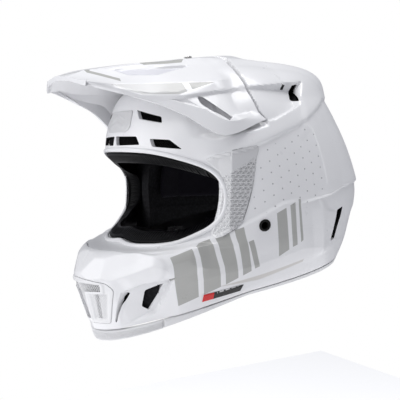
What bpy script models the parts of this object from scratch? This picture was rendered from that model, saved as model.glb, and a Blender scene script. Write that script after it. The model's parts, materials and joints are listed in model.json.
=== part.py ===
"""Motocross helmet as it comes apart on a bench.

Metres, +Z up.  The face looks along -Y and the rider's left is +X.  The origin is the middle of
the head cavity at the height of the eyes, where the head holds the helmet.
"""
from math import cos, pi, radians, sin

import bmesh
import bpy
import numpy as np
from mathutils import Matrix, Vector
from mathutils.bvhtree import BVHTree

MM = 0.001
NAME = "motocross_helmet"

# ---------------------------------------------------------------- driving dimensions
# Outer form, rim to crown, in millimetres.  Each station is a ring through three points:
# the front (forward, up), the widest side point (out, forward, up) and the back (forward, up).
# The last two numbers are how square the ring's front and back halves are (2 is an ellipse).
STATIONS = (
    ((139, -134), (97, 25, -85), (-138, -66), 1.70, 2.50),    # bottom of the rim trim
    ((146, -112), (103, 18, -75), (-142, -52), 1.70, 2.50),
    ((154, -88), (109, 10, -60), (-145, -36), 1.72, 2.50),
    ((160, -66), (113, 4, -45), (-148, -20), 1.75, 2.45),     # lip above the mouth opening
    ((148, -46), (116, 0, -34), (-151, -7), 1.80, 2.40),
    ((114, -36), (118, -3, -22), (-155, 3), 1.90, 2.35),      # top of the chin bar
    ((112, 5), (121, -8, 8), (-156, 19), 1.90, 2.22),         # middle of the eyeport
    ((119, 52), (120, -10, 42), (-147, 50), 1.95, 2.12),      # brow
    ((114, 84), (114, -12, 72), (-135, 80), 2.00, 2.02),
    ((100, 110), (101, -16, 100), (-120, 108), 2.10, 1.95),
    ((62, 137), (72, -24, 131), (-104, 135), 2.15, 2.00),
    ((-20, 152), (0, -20, 152), (-20, 152), 2.15, 2.40),      # crown
)
RING_DROP = 1.25          # how late a ring drops towards the chin
GAP = 0.3 * MM            # clearance between touching pieces
SHELL_WALL = 3.2 * MM
SEAT_DEPTH = 5.0 * MM      # how far the shell sinks under the visor
RIM_STATION = 0.55        # where the shell ends and the rim trim begins
RIM_SPLIT = radians(45)   # ring angle where the front rim trim meets the rear one

# Head cavity: an ellipsoid inside the comfort liner.
CAVITY_CENTRE = Vector((0.0, 0.019, 0.012))
CAVITY_RADII = Vector((0.080, 0.100, 0.093))
LINER_ROOM = 9.6 * MM     # from the cavity to the crushable foam, where the comfort liner sits
LINER_LIFT = 5.0 * MM
LINER_THICK = 4.0 * MM

# Eyeport outline, seen from the front: (out, up) in millimetres for the rider's left half.
EYEPORT = ((0, 52), (44, 51), (66, 47), (88, 39), (97, 30), (100, 16), (99, -4), (92, -18),
           (80, -27), (66, -35), (31, -38), (13, -37), (0, -35))
# Mouth opening, seen from the front.
MOUTH = ((0, -69), (36, -72), (41, -78), (27, -113), (0, -116))

# Visor rails from the front lip to the rear edge: (out, forward, up) in millimetres.
VISOR_CENTRE = ((0, 180, 121), (0, 158, 128), (0, 110, 137),
                (0, 75, 142), (0, 45, 147), (0, 20, 152))
VISOR_BAND = ((26, 178, 119), (26, 157, 126), (29, 110, 135),
              (33, 75, 139), (38, 45, 143), (42, 21, 147))
VISOR_RIDGE = ((50, 170, 113), (54, 149, 112), (62, 112, 113),
               (73, 80, 115), (82, 52, 117), (76, 26, 124))
VISOR_LEDGE = ((49, 165, 110), (58, 143, 107), (70, 116, 104),
               (86, 92, 101), (108, 58, 79), (108, 22, 88))
VISOR_EDGE = ((47, 160, 108), (60, 138, 102), (75, 112, 94),
              (90, 91, 83), (109, 61, 66), (111, 17, 81))
VISOR_WALL = 2.6 * MM
VISOR_HOLE = ((94, 103), (70, 101), (62, 88))        # (forward, up) of the slot in each wing
VISOR_AXIS = Vector((0.0, -0.034, 0.078))            # pivot pins, tilt axis along X
PIN_BASE = 97.0           # millimetres out to the middle of each pin's bush
BUSH_RADIUS = 6.0 * MM
SCREW_FORWARD = 33        # the middle screw, millimetres forward and up
SCREW_LEVEL = 150.5
PORT = (22, -17)          # hydration port, (forward, up) in millimetres
PORT_RADIUS = 6.0 * MM


def out_fwd_up(out, forward, up):
    """A point from millimetres out, forward and up."""
    return Vector((out * MM, -forward * MM, up * MM))


# ---------------------------------------------------------------- scene helpers
def clear_scene():
    for old in list(bpy.data.objects):
        bpy.data.objects.remove(old, do_unlink=True)


def new_collection(name):
    made = bpy.data.collections.new(name)
    bpy.context.scene.collection.children.link(made)
    return made


def material(name, colour, roughness, metallic=0.0):
    made = bpy.data.materials.new(name)
    made.use_nodes = True
    shader = made.node_tree.nodes["Principled BSDF"]
    shader.inputs["Base Color"].default_value = (*colour, 1.0)
    shader.inputs["Roughness"].default_value = roughness
    shader.inputs["Metallic"].default_value = metallic
    return made


clear_scene()
PARTS = new_collection(NAME)
CUTTERS = new_collection(NAME + "_cutters")
WHITE = (0.86, 0.86, 0.88)
PALE = (0.70, 0.70, 0.73)
GREY = (0.45, 0.45, 0.44)
BLACK = (0.012, 0.012, 0.013)
STEEL = (0.62, 0.62, 0.60)
FOAM = (0.09, 0.09, 0.10)
CLOTH = (0.02, 0.02, 0.022)


def add_object(name, mesh, colour, roughness, metallic=0.0):
    made = bpy.data.objects.new(name, mesh)
    PARTS.objects.link(made)
    mesh.materials.append(material(name, colour, roughness, metallic))
    return made


def mesh_from(name, bm):
    bmesh.ops.remove_doubles(bm, verts=bm.verts, dist=1e-6)
    mesh = bpy.data.meshes.new(name)
    bm.to_mesh(mesh)
    bm.free()
    return mesh


def smooth(made, angle=35):
    made.data.shade_smooth()
    made.data.set_sharp_from_angle(angle=radians(angle))


def add_solidify(made, thickness, offset=-1.0):
    modifier = made.modifiers.new("wall", "SOLIDIFY")
    modifier.thickness = thickness
    modifier.offset = offset
    modifier.use_even_offset = False
    return modifier


def add_boolean(made, cutter, operation="DIFFERENCE"):
    modifier = made.modifiers.new(operation.lower(), "BOOLEAN")
    modifier.operation = operation
    modifier.object = cutter
    modifier.solver = "EXACT"
    return modifier


def as_cutter(name, mesh):
    made = bpy.data.objects.new(name, mesh)
    CUTTERS.objects.link(made)
    made.hide_render = True
    made.display_type = "WIRE"
    return made


# ---------------------------------------------------------------- outer form
def through_stations(values, s):
    """Catmull-Rom curve through one number of every station; s runs from 0 at the rim."""
    values = np.asarray(values, float)
    last = len(values) - 1
    s = np.clip(np.asarray(s, float), 0, last - 1e-9)
    i = s.astype(int)
    u = s - i
    here = values[i]
    after = values[i + 1]
    before = np.where(i > 0, values[np.maximum(i - 1, 0)], 2 * here - after)
    beyond = np.where(i + 2 <= last, values[np.minimum(i + 2, last)], 2 * after - here)
    return 0.5 * (2 * here + (after - before) * u
                  + (2 * before - 5 * here + 4 * after - beyond) * u ** 2
                  + (3 * here - before - 3 * after + beyond) * u ** 3)


def form_point(s, t):
    """Point of the outer form at station s and ring angle t: 0 front, +-pi/2 sides, pi back."""
    s = np.asarray(s, float)
    t = np.asarray(t, float)
    front = np.cos(t) >= 0
    rings = list(zip(*STATIONS))
    square = np.where(front, through_stations(rings[3], s), through_stations(rings[4], s))
    along = np.abs(np.cos(t)) ** (2 / square)
    across = np.abs(np.sin(t)) ** (2 / square) * np.sign(np.sin(t))
    side_out, side_fwd, side_up = (through_stations(v, s) for v in zip(*rings[1]))
    front_fwd, front_up = (through_stations(v, s) for v in zip(*rings[0]))
    back_fwd, back_up = (through_stations(v, s) for v in zip(*rings[2]))
    end_fwd = np.where(front, front_fwd, back_fwd)
    end_up = np.where(front, front_up, back_up)
    drop = np.where(front, along ** RING_DROP, along)
    x = side_out * across
    forward = side_fwd + (end_fwd - side_fwd) * along
    up = side_up + (end_up - side_up) * drop
    return np.stack([x, -forward, up], -1) * MM


def form_normal(s, t):
    """Outward unit normal of the outer form."""
    step = 0.02
    top = len(STATIONS) - 1
    high = np.minimum(np.asarray(s, float) + step, top - 0.001)
    low = np.maximum(high - 2 * step, 0)
    rise = form_point(high, t) - form_point(low, t)
    turn = form_point(s, np.asarray(t) + step) - form_point(s, np.asarray(t) - step)
    normal = np.cross(turn, rise)
    length = np.linalg.norm(normal, axis=-1, keepdims=True)
    normal = normal / np.maximum(length, 1e-12)
    at_crown = np.asarray(s, float)[..., None] > top - 0.01
    return np.where(at_crown, np.array([0.0, 0.0, 1.0]), normal)


def lifted(s, t, lift):
    return form_point(s, t) + form_normal(s, t) * lift


def ramp(value, low, high):
    """0 below low, 1 above high, smooth between them."""
    u = np.clip((value - low) / (high - low), 0, 1)
    return u * u * (3 - 2 * u)


def visor_seat(place):
    """How far the shell sinks under the visor's rear edge and wings."""
    forward = -place[..., 1] / MM
    up = place[..., 2] / MM
    seat = ramp(forward, 7, 15) * (1 - ramp(forward, 62, 84)) * ramp(up, 66, 80)
    return seat * SEAT_DEPTH


def seated(s, t, lift):
    """The form with the visor's seat pressed into it, moved out by lift."""
    normal = form_normal(s, t)
    place = form_point(s, t)
    return place + normal * (lift - visor_seat(place)[..., None])


def form_grid(name, s_range, t_range, rows, columns, lift=0.0, surface=lifted):
    """A sheet of the outer form between two stations and two ring angles, moved out by lift."""
    bm = bmesh.new()
    bmesh.ops.create_grid(bm, x_segments=columns, y_segments=rows, size=1.0)
    across = np.array([(vert.co.x + 1) / 2 for vert in bm.verts])
    along = np.array([(vert.co.y + 1) / 2 for vert in bm.verts])
    s = s_range[0] + (s_range[1] - s_range[0]) * along
    t = t_range[0] + (t_range[1] - t_range[0]) * across
    for vert, place in zip(bm.verts, surface(s, t, lift)):
        vert.co = place
    bmesh.ops.remove_doubles(bm, verts=bm.verts, dist=1e-5)
    return mesh_from(name, bm)


def form_slab(name, s_range, t_range, rows, columns, lift, thickness, colour, roughness):
    """A closed slab whose outer face follows the outer form."""
    mesh = form_grid(name, s_range, t_range, rows, columns, lift)
    made = add_object(name, mesh, colour, roughness)
    add_solidify(made, thickness)
    smooth(made)
    return made


def form_tree():
    """The outer form as a tree for finding where a line meets it."""
    mesh = form_grid("form_guide", (0, 11), (-pi, pi), 44, 96)
    bm = bmesh.new()
    bm.from_mesh(mesh)
    tree = BVHTree.FromBMesh(bm)
    bm.free()
    bpy.data.meshes.remove(mesh)
    return tree


FORM = form_tree()


def on_form(start, direction):
    """Where a line from outside first meets the outer form, and the outward normal there."""
    place, normal, _, _ = FORM.ray_cast(start, direction)
    if normal.dot(direction) > 0:
        normal = -normal
    return place, normal


def on_front(out, up):
    """Outer form straight ahead of a point given in millimetres out and up."""
    return on_form(Vector((out * MM, -0.5, up * MM)), Vector((0, 1, 0)))


def on_side(forward, up, side=1):
    """Outer form beside a point given in millimetres forward and up."""
    return on_form(Vector((0.5 * side, -forward * MM, up * MM)), Vector((-side, 0, 0)))


# ---------------------------------------------------------------- outlines and prisms
def both_halves(half):
    """A closed outline from its left half, which starts and ends on the middle plane."""
    right = [(-out, up) for out, up in reversed(half) if out > 0]
    return list(half) + right


def rounded(outline, steps=2):
    """A closed outline with its corners cut twice, which leaves them round."""
    points = [Vector(p) for p in outline]
    for _ in range(steps):
        cut = []
        for i, here in enumerate(points):
            after = points[(i + 1) % len(points)]
            cut += [here.lerp(after, 0.25), here.lerp(after, 0.75)]
        points = cut
    return points


def prism(name, outline, low, high, place):
    """A closed prism between two levels; place turns (a, b, level) into a point."""
    bm = bmesh.new()
    bottom = [bm.verts.new(place(p[0], p[1], low)) for p in outline]
    top = [bm.verts.new(place(p[0], p[1], high)) for p in outline]
    count = len(outline)
    bm.faces.new(bottom)
    bm.faces.new(top)
    for i in range(count):
        j = (i + 1) % count
        bm.faces.new((bottom[i], bottom[j], top[j], top[i]))
    bmesh.ops.recalc_face_normals(bm, faces=bm.faces)
    return mesh_from(name, bm)


def from_front(out, up, forward):
    return out_fwd_up(out, forward, up)


def from_side(forward, up, out):
    return out_fwd_up(out, forward, up)


def front_cutter(name, outline, near, far):
    return as_cutter(name, prism(name, outline, near, far, from_front))


def side_cutter(name, outline, near, far):
    return as_cutter(name, prism(name, outline, near, far, from_side))


def grown(outline, amount):
    """An outline moved outwards by an amount, measured from each corner's bisector."""
    count = len(outline)
    points = [Vector(p) for p in outline]
    area = sum(a.x * b.y - b.x * a.y for a, b in zip(points, points[1:] + points[:1]))
    turn = 1 if area > 0 else -1
    moved = []
    for i in range(count):
        before = (points[i] - points[i - 1]).normalized()
        after = (points[(i + 1) % count] - points[i]).normalized()
        normal = Vector((before.y + after.y, -before.x - after.x)) * turn
        moved.append(points[i] + normal.normalized() * amount)
    return moved


EYEPORT_OUTLINE = rounded(both_halves(EYEPORT), 1)
MOUTH_OUTLINE = both_halves(MOUTH)

# Vent outlines, in millimetres.  Front view: (out, up).  Side view: (forward, up).
CENTRE_VENT = ((-21, 65), (21, 65), (25, 58), (-25, 58))
BROW_VENT = ((50, 62), (66, 60), (73, 54), (53, 57))
UPPER_VENT = ((27, 92), (56, 82), (57, 78), (30, 83))
CHIN_VENT = ((115, -77), (105, -71), (110, -96), (116, -93))
SCOOP_VENT = ((-28, 116), (-40, 117), (-25, 99), (-19, 102))
REAR_VENT = ((-80, -6), (-84, -6), (-78, -36), (-74, -36))
VENT_ROOM = 7             # how much wider the way through the foam is, in millimetres


def mirrored(outline):
    return [(-a, b) for a, b in outline]


# ---------------------------------------------------------------- shell and its covers
def outer_shell():
    mesh = form_grid("outer_shell", (RIM_STATION, 11), (-pi, pi), 16, 40, surface=seated)
    shell = add_object("outer_shell", mesh, WHITE, 0.16)
    add_solidify(shell, SHELL_WALL)
    cutters = [
        front_cutter("eyeport_cut", EYEPORT_OUTLINE, 45, 200),
        front_cutter("mouth_cut", MOUTH_OUTLINE, 105, 200),
        front_cutter("centre_vent_cut", CENTRE_VENT, 95, 200),
    ]
    for label, outline in (("brow", BROW_VENT), ("upper", UPPER_VENT)):
        cutters.append(front_cutter(label + "_vent_cut_left", outline, 70, 200))
        cutters.append(front_cutter(label + "_vent_cut_right", mirrored(outline), 70, 200))
    for label, outline in (("chin", CHIN_VENT), ("scoop", SCOOP_VENT), ("rear", REAR_VENT)):
        cutters.append(side_cutter(label + "_vent_cut_left", outline, 48, 200))
        cutters.append(side_cutter(label + "_vent_cut_right", outline, -200, -48))
    for side, tag in ((1, "left"), (-1, "right")):
        cutters.append(round_cutter("port_cut_" + tag, PORT, side, PORT_RADIUS + GAP))
        bush_hole = as_cutter("bush_cut_" + tag, cylinder_mesh("bush_cut", BUSH_RADIUS + GAP, -0.02, 0.02))
        bush_hole.location = VISOR_AXIS + Vector((0.1 * side, 0, 0))
        cutters.append(bush_hole)
    insert_hole = rounded([(-5.5, SCREW_FORWARD - 5.5), (5.5, SCREW_FORWARD - 5.5),
                           (5.5, SCREW_FORWARD + 5.5), (-5.5, SCREW_FORWARD + 5.5)], 1)
    cutters.append(as_cutter("insert_hole", prism("insert_hole", insert_hole, 120, 170, from_top)))
    for cutter in cutters:
        add_boolean(shell, cutter)
    smooth(shell)
    return shell


def cylinder_mesh(name, radius, low, high, sides=24):
    """A closed cylinder along X from x = low to x = high."""
    bm = bmesh.new()
    turn = Matrix.Rotation(pi / 2, 4, "Y")
    shift = Matrix.Translation(((low + high) / 2, 0, 0))
    bmesh.ops.create_cone(bm, cap_ends=True, segments=sides, radius1=radius, radius2=radius,
                          depth=high - low, matrix=shift @ turn)
    return mesh_from(name, bm)


def side_frame(centre, side):
    """A matrix at a point on the side of the form, with its own X along the outward normal."""
    place, normal = on_side(*centre, side)
    return Matrix.Translation(place) @ normal.to_track_quat("X", "Z").to_matrix().to_4x4()


def round_cutter(name, centre, side, radius):
    made = as_cutter(name, cylinder_mesh(name, radius, -0.02, 0.02))
    made.matrix_world = side_frame(centre, side)
    return made


def rim_trims():
    """The soft edge under the shell: a textured front length and a plain one round the back."""
    span = (0.0, RIM_STATION - 0.08)
    split = RIM_SPLIT + 0.010
    form_slab("rim_trim_front", span, (-RIM_SPLIT, RIM_SPLIT), 2, 10, 0.0, 4.6 * MM, PALE, 0.55)
    form_slab("rim_trim_rear", span, (split, 2 * pi - split), 2, 30, 0.0, 4.6 * MM, PALE, 0.5)


def eyeport_trim():
    """The ribbed black frame that lines the eyeport just inside the shell's edge."""
    outer = grown(EYEPORT_OUTLINE, -0.5)
    inner = grown(EYEPORT_OUTLINE, -11.0)
    bm = bmesh.new()
    rows = []
    for ring, depth in ((outer, 1.5), (inner, 11.0)):
        row = []
        for (out, up), (edge_out, edge_up) in zip(ring, outer):
            place, _ = on_front(edge_out, edge_up)
            row.append(bm.verts.new((out * MM, place.y + depth * MM, up * MM)))
        rows.append(row)
    count = len(outer)
    for i in range(count):
        j = (i + 1) % count
        bm.faces.new((rows[0][i], rows[0][j], rows[1][j], rows[1][i]))
    bmesh.ops.recalc_face_normals(bm, faces=bm.faces)
    trim = add_object("eyeport_trim", mesh_from("eyeport_trim", bm), BLACK, 0.45)
    add_solidify(trim, 2.4 * MM, 1.0)
    smooth(trim)
    return trim


def vent_panel(name, outline, grow, depth, view, side=1, thickness=1.6):
    """A mesh panel behind a vent, following the inside of the shell."""
    points = grown(outline, grow)
    bm = bmesh.new()
    front = []
    for a, b in points:
        if view == "front":
            place, normal = on_front(a, b)
        else:
            place, normal = on_side(a, b, side)
        front.append((place, normal))
    outer = [bm.verts.new(place - normal * depth * MM) for place, normal in front]
    inner = [bm.verts.new(place - normal * (depth + thickness) * MM) for place, normal in front]
    count = len(points)
    bm.faces.new(outer)
    bm.faces.new(inner)
    for i in range(count):
        j = (i + 1) % count
        bm.faces.new((outer[i], outer[j], inner[j], inner[i]))
    bmesh.ops.recalc_face_normals(bm, faces=bm.faces)
    return add_object(name, mesh_from(name, bm), BLACK, 0.6)


def vents():
    wall = SHELL_WALL / MM + 0.5
    vent_panel("centre_vent_mesh", CENTRE_VENT, 2.0, wall + 0.7, "front")
    for side, tag in ((1, "left"), (-1, "right")):
        flip = (lambda outline: outline) if side > 0 else mirrored
        vent_panel("brow_vent_mesh_" + tag, flip(BROW_VENT), 2.0, wall + 0.4, "front")
        vent_panel("upper_vent_mesh_" + tag, flip(UPPER_VENT), 2.0, wall + 0.4, "front")
        vent_panel("chin_vent_mesh_" + tag, CHIN_VENT, 2.0, wall + 0.4, "side", side)
        vent_panel("scoop_vent_mesh_" + tag, SCOOP_VENT, 2.0, wall + 0.4, "side", side)
        vent_panel("rear_vent_mesh_" + tag, REAR_VENT, 1.5, wall + 0.6, "side", side)


def badge():
    """The blank light-grey plate on the forehead, lying on the shell."""
    mesh = form_grid("forehead_plate", (7.52, 8.2), (-0.21, 0.21), 3, 7, GAP + 0.9 * MM)
    plate = add_object("forehead_plate", mesh, GREY, 0.35)
    add_solidify(plate, 0.9 * MM)
    return plate


def side_panels():
    """The patterned goggle-strap panels behind the eyeport, one on each side."""
    for side, tag in ((1, "left"), (-1, "right")):
        corners = ((7.30, 0.99), (7.40, 1.25), (5.42, 1.14), (5.16, 0.98))
        name = "strap_panel_" + tag
        bm = bmesh.new()
        bmesh.ops.create_grid(bm, x_segments=4, y_segments=10, size=1.0)
        u = np.array([(vert.co.x + 1) / 2 for vert in bm.verts])
        v = np.array([(vert.co.y + 1) / 2 for vert in bm.verts])
        weights = ((1 - u) * (1 - v), u * (1 - v), u * v, (1 - u) * v)
        s = sum(w * corner[0] for w, corner in zip(weights, corners))
        t = sum(w * corner[1] for w, corner in zip(weights, corners)) * side
        for vert, place in zip(bm.verts, lifted(s, t, GAP + 1.0 * MM)):
            vert.co = place
        if side > 0:
            bmesh.ops.reverse_faces(bm, faces=bm.faces)
        panel = add_object(name, mesh_from(name, bm), PALE, 0.4)
        add_solidify(panel, 1.0 * MM)
        smooth(panel)


def ports():
    """A rubber grommet lining the hydration hole on each side."""
    for side, tag in ((1, "left"), (-1, "right")):
        name = "hydration_grommet_" + tag
        bm = bmesh.new()
        profile = ((4.2, 1.2), (7.6, 1.0), (7.6, 0.35), (5.7, 0.35), (5.7, -4.2), (4.2, -4.2))
        verts = [bm.verts.new((level * MM, 0, radius * MM)) for radius, level in profile]
        for i in range(len(verts)):
            bm.edges.new((verts[i], verts[(i + 1) % len(verts)]))
        bmesh.ops.spin(bm, geom=bm.verts[:] + bm.edges[:], cent=(0, 0, 0), axis=(1, 0, 0),
                       angle=2 * pi, steps=14)
        bmesh.ops.remove_doubles(bm, verts=bm.verts, dist=1e-6)
        bmesh.ops.recalc_face_normals(bm, faces=bm.faces)
        grommet = add_object(name, mesh_from(name, bm), BLACK, 0.6)
        grommet.matrix_world = side_frame(PORT, side)
        smooth(grommet)


# ---------------------------------------------------------------- mouth and visor
def mouthpiece():
    """The white grille in the mouth opening: a frame with two upright ribs, and a mesh behind."""
    frame_mesh = form_grid("mouthpiece", (0.75, 3.35), (-0.62, 0.62), 8, 10, 0.6 * MM)
    frame = add_object("mouthpiece", frame_mesh, WHITE, 0.3)
    add_solidify(frame, 4.0 * MM)
    add_boolean(frame, front_cutter("mouthpiece_edge", grown(MOUTH_OUTLINE, -0.4), 90, 200), "INTERSECT")
    windows = (((-6, -78), (6, -78), (4, -110), (-4, -110)),
               ((11, -79), (31, -81), (22, -108), (9, -110)))
    cuts = [windows[0], windows[1], mirrored(windows[1])]
    for i, window in enumerate(cuts):
        add_boolean(frame, front_cutter("mouthpiece_window_%d" % i, window, 90, 200))
    mesh_sheet = form_grid("mouth_mesh", (0.62, 3.2), (-0.62, 0.62), 6, 8, -4.8 * MM)
    backing = add_object("mouth_mesh", mesh_sheet, PALE, 0.5)
    add_solidify(backing, 1.2 * MM)
    add_boolean(backing, front_cutter("mouth_mesh_edge", grown(MOUTH_OUTLINE, 2.0), 90, 200), "INTERSECT")


VISOR_RAILS = (VISOR_CENTRE, VISOR_BAND, VISOR_RIDGE, VISOR_LEDGE, VISOR_EDGE)


def visor_point(along, across):
    """Point of the visor's top: along 0 (lip) to 5 (rear), across 0 (middle) to +-4 (edge)."""
    along = np.asarray(along, float)
    side = np.sign(across)
    across = np.abs(np.asarray(across, float))
    rails = [np.stack([through_stations(v, along) for v in zip(*rail)], -1) for rail in VISOR_RAILS]
    rails = np.array(rails)
    first = np.minimum(across.astype(int), len(VISOR_RAILS) - 2)
    part = (across - first)[..., None]
    pick = np.arange(len(across))
    place = rails[first, pick] * (1 - part) + rails[first + 1, pick] * part
    return np.stack([place[..., 0] * side, -place[..., 1], place[..., 2]], -1) * MM


def visor():
    """The peak: a thin moulding with a raised middle, side ledges and a slot in each wing."""
    bm = bmesh.new()
    bmesh.ops.create_grid(bm, x_segments=12, y_segments=10, size=1.0)
    lanes = (-4, -3, -2, -1.5, -1, -0.5, 0, 0.5, 1, 1.5, 2, 3, 4)
    across = np.array([lanes[round((vert.co.x + 1) * 6)] for vert in bm.verts])
    along = np.array([(vert.co.y + 1) * 2.5 for vert in bm.verts])
    for vert, place in zip(bm.verts, visor_point(along, across)):
        vert.co = place
    bmesh.ops.recalc_face_normals(bm, faces=bm.faces)
    peak = add_object("visor", mesh_from("visor", bm), WHITE, 0.2)
    add_solidify(peak, VISOR_WALL)
    for side, tag in ((1, "left"), (-1, "right")):
        near, far = (70, 200) if side > 0 else (-200, -70)
        add_boolean(peak, side_cutter("wing_slot_" + tag, VISOR_HOLE, near, far))
    slot = rounded([(-2.8, SCREW_FORWARD - 9), (2.8, SCREW_FORWARD - 9),
                    (2.8, SCREW_FORWARD + 8), (-2.8, SCREW_FORWARD + 8)], 1)
    add_boolean(peak, as_cutter("screw_slot", prism("screw_slot", slot, 130, 170, from_top)))
    smooth(peak)
    return peak


def from_top(out, forward, up):
    return out_fwd_up(out, forward, up)


def turned(name, profile, colour, roughness, metallic=0.0, sides=12):
    """A turned solid about Z from (radius, level) pairs in millimetres, listed top to bottom."""
    bm = bmesh.new()
    verts = [bm.verts.new((radius * MM, 0, level * MM)) for radius, level in profile]
    for first, second in zip(verts, verts[1:]):
        bm.edges.new((first, second))
    mesh = bpy.data.meshes.new(name)
    bm.to_mesh(mesh)
    bm.free()
    made = add_object(name, mesh, colour, roughness, metallic)
    screw = made.modifiers.new("turn", "SCREW")
    screw.steps = sides
    screw.render_steps = sides
    screw.use_merge_vertices = True
    screw.merge_threshold = 1e-5
    return made


def visor_fixings():
    """A pin on each wing turns in a bush in the shell; a slotted middle screw locks the tilt."""
    out_x = Matrix.Rotation(pi / 2, 4, "Y")
    for side, tag in ((1, "left"), (-1, "right")):
        pin = turned("visor_pin_" + tag, ((0, 9.0), (4.6, 9.0), (4.6, 7.6), (4, 7.6), (4, -3.2), (0, -3.2)),
                     STEEL, 0.3, 0.9)
        bush = turned("visor_bush_" + tag,
                      ((4.4, 3.8), (5.8, 3.8), (5.8, -3.6), (4.4, -3.6), (4.4, 3.8)), BLACK, 0.6)
        base = Vector((PIN_BASE * MM * side, VISOR_AXIS.y, VISOR_AXIS.z))
        facing = out_x if side > 0 else Matrix.Rotation(-pi / 2, 4, "Y")
        pin.matrix_world = Matrix.Translation(base) @ facing
        bush.matrix_world = Matrix.Translation(base) @ facing
    screw = turned("visor_screw", ((0, 3.4), (6, 3.4), (6.6, 2.6), (6.6, 1.4), (2.2, 1.4), (2.2, -16),
                                   (0, -16)), STEEL, 0.35, 0.9)
    screw.location = (0, -SCREW_FORWARD * MM, SCREW_LEVEL * MM)
    nut = turned("visor_screw_insert", ((2.5, -8.4), (5, -8.4), (5, -14), (2.5, -14), (2.5, -8.4)),
                 STEEL, 0.4, 0.9)
    nut.location = screw.location


# ---------------------------------------------------------------- inside the shell
def cavity_place(latitude, longitude, lift):
    """Point beside the head cavity; longitude 0 is the front, positive to the rider's left."""
    radii = CAVITY_RADII + Vector((lift, lift, lift))
    level = np.cos(latitude)
    x = radii.x * level * np.sin(longitude)
    y = -radii.y * level * np.cos(longitude)
    z = radii.z * np.sin(latitude)
    return np.stack([x + CAVITY_CENTRE.x, y + CAVITY_CENTRE.y, z + CAVITY_CENTRE.z], -1)


def cavity_slab(name, lat_range, lon_range, rows, columns):
    """A comfort liner panel between two latitudes and two longitudes, in degrees."""
    bm = bmesh.new()
    bmesh.ops.create_grid(bm, x_segments=columns, y_segments=rows, size=1.0)
    u = np.array([(vert.co.x + 1) / 2 for vert in bm.verts])
    v = np.array([(vert.co.y + 1) / 2 for vert in bm.verts])
    latitude = np.radians(lat_range[0] + (lat_range[1] - lat_range[0]) * v)
    longitude = np.radians(lon_range[0] + (lon_range[1] - lon_range[0]) * u)
    for vert, place in zip(bm.verts, cavity_place(latitude, longitude, LINER_LIFT)):
        vert.co = place
    bmesh.ops.remove_doubles(bm, verts=bm.verts, dist=1e-5)
    made = add_object(name, mesh_from(name, bm), CLOTH, 0.95)
    add_solidify(made, LINER_THICK)
    smooth(made)
    return made


def closed_form(name, s_range, rows, columns, lift):
    """The form above a station as one solid, its underside closed by a fan."""
    mesh = form_grid(name, s_range, (-pi, pi), rows, columns, lift, surface=seated)
    bm = bmesh.new()
    bm.from_mesh(mesh)
    rim = [edge for edge in bm.edges if edge.is_boundary]
    bmesh.ops.contextual_create(bm, geom=rim)
    bmesh.ops.recalc_face_normals(bm, faces=bm.faces)
    bm.to_mesh(mesh)
    bm.free()
    return mesh


def eps_liners():
    """The two crushable foam mouldings: one round the skull and one in the chin bar."""
    form = closed_form("eps_crown", (4.3, 11), 10, 32, -(SHELL_WALL + 2.4 * MM))
    crown = add_object("eps_crown", form, FOAM, 0.85)
    head = bmesh.new()
    bmesh.ops.create_uvsphere(head, u_segments=24, v_segments=14, radius=1.0)
    radii = CAVITY_RADII + Vector((LINER_ROOM, LINER_ROOM, LINER_ROOM))
    bmesh.ops.scale(head, vec=radii, verts=head.verts)
    bmesh.ops.translate(head, vec=CAVITY_CENTRE, verts=head.verts)
    add_boolean(crown, as_cutter("head_cut", mesh_from("head_cut", head)))
    neck = bmesh.new()
    bmesh.ops.create_cone(neck, cap_ends=True, segments=24, radius1=1.0, radius2=1.0, depth=1.0)
    bmesh.ops.scale(neck, vec=(radii.x * 0.97, radii.y * 0.97, 0.16), verts=neck.verts)
    bmesh.ops.translate(neck, vec=CAVITY_CENTRE - Vector((0, 0, 0.083)), verts=neck.verts)
    add_boolean(crown, as_cutter("neck_cut", mesh_from("neck_cut", neck)))
    face = ((102, 53), (60, 53.6), (-60, 53.6), (-102, 53), (-125, 20), (-125, -150), (125, -150), (125, 20))
    add_boolean(crown, front_cutter("face_cut", face, 44, 200))
    for side, tag in ((1, "left"), (-1, "right")):
        add_boolean(crown, deep_bush_cutter(side, tag))
        facing = (lambda outline: outline) if side > 0 else mirrored
        add_boolean(crown, front_block(tag, facing(UPPER_VENT)))
        add_boolean(crown, front_block(tag + "_brow", facing(BROW_VENT)))
        add_boolean(crown, side_block("scoop_" + tag, SCOOP_VENT, side))
        add_boolean(crown, side_block("rear_" + tag, REAR_VENT, side))
        add_boolean(crown, round_cutter("port_room_" + tag, PORT, side, PORT_RADIUS + 3 * MM))
    add_boolean(crown, front_block("centre", CENTRE_VENT))
    well = rounded([(-6, SCREW_FORWARD - 6), (6, SCREW_FORWARD - 6),
                    (6, SCREW_FORWARD + 6), (-6, SCREW_FORWARD + 6)], 1)
    add_boolean(crown, as_cutter("screw_room", prism("screw_room", well, 130, 170, from_top)))
    smooth(crown)
    chin_form = form_grid("eps_chin", (0.75, 3.6), (-0.75, 0.75), 6, 10, -9.0 * MM)
    chin = add_object("eps_chin", chin_form, FOAM, 0.85)
    add_solidify(chin, 12 * MM)
    add_boolean(chin, front_cutter("mouth_room", grown(MOUTH_OUTLINE, -6), 60, 200))
    smooth(chin)


def front_block(tag, outline):
    """Room in the foam behind a vent in the front, wider than the vent all round."""
    return front_cutter("vent_room_" + tag, grown(outline, VENT_ROOM), 60, 200)


def side_block(tag, outline, side):
    near, far = (60, 200) if side > 0 else (-200, -60)
    return side_cutter("vent_room_" + tag, grown(outline, VENT_ROOM), near, far)


def deep_bush_cutter(side, tag):
    made = as_cutter("bush_room_" + tag, cylinder_mesh("bush_room", 9 * MM, -0.02, 0.02))
    made.location = VISOR_AXIS + Vector((0.1 * side, 0, 0))
    return made


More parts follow.
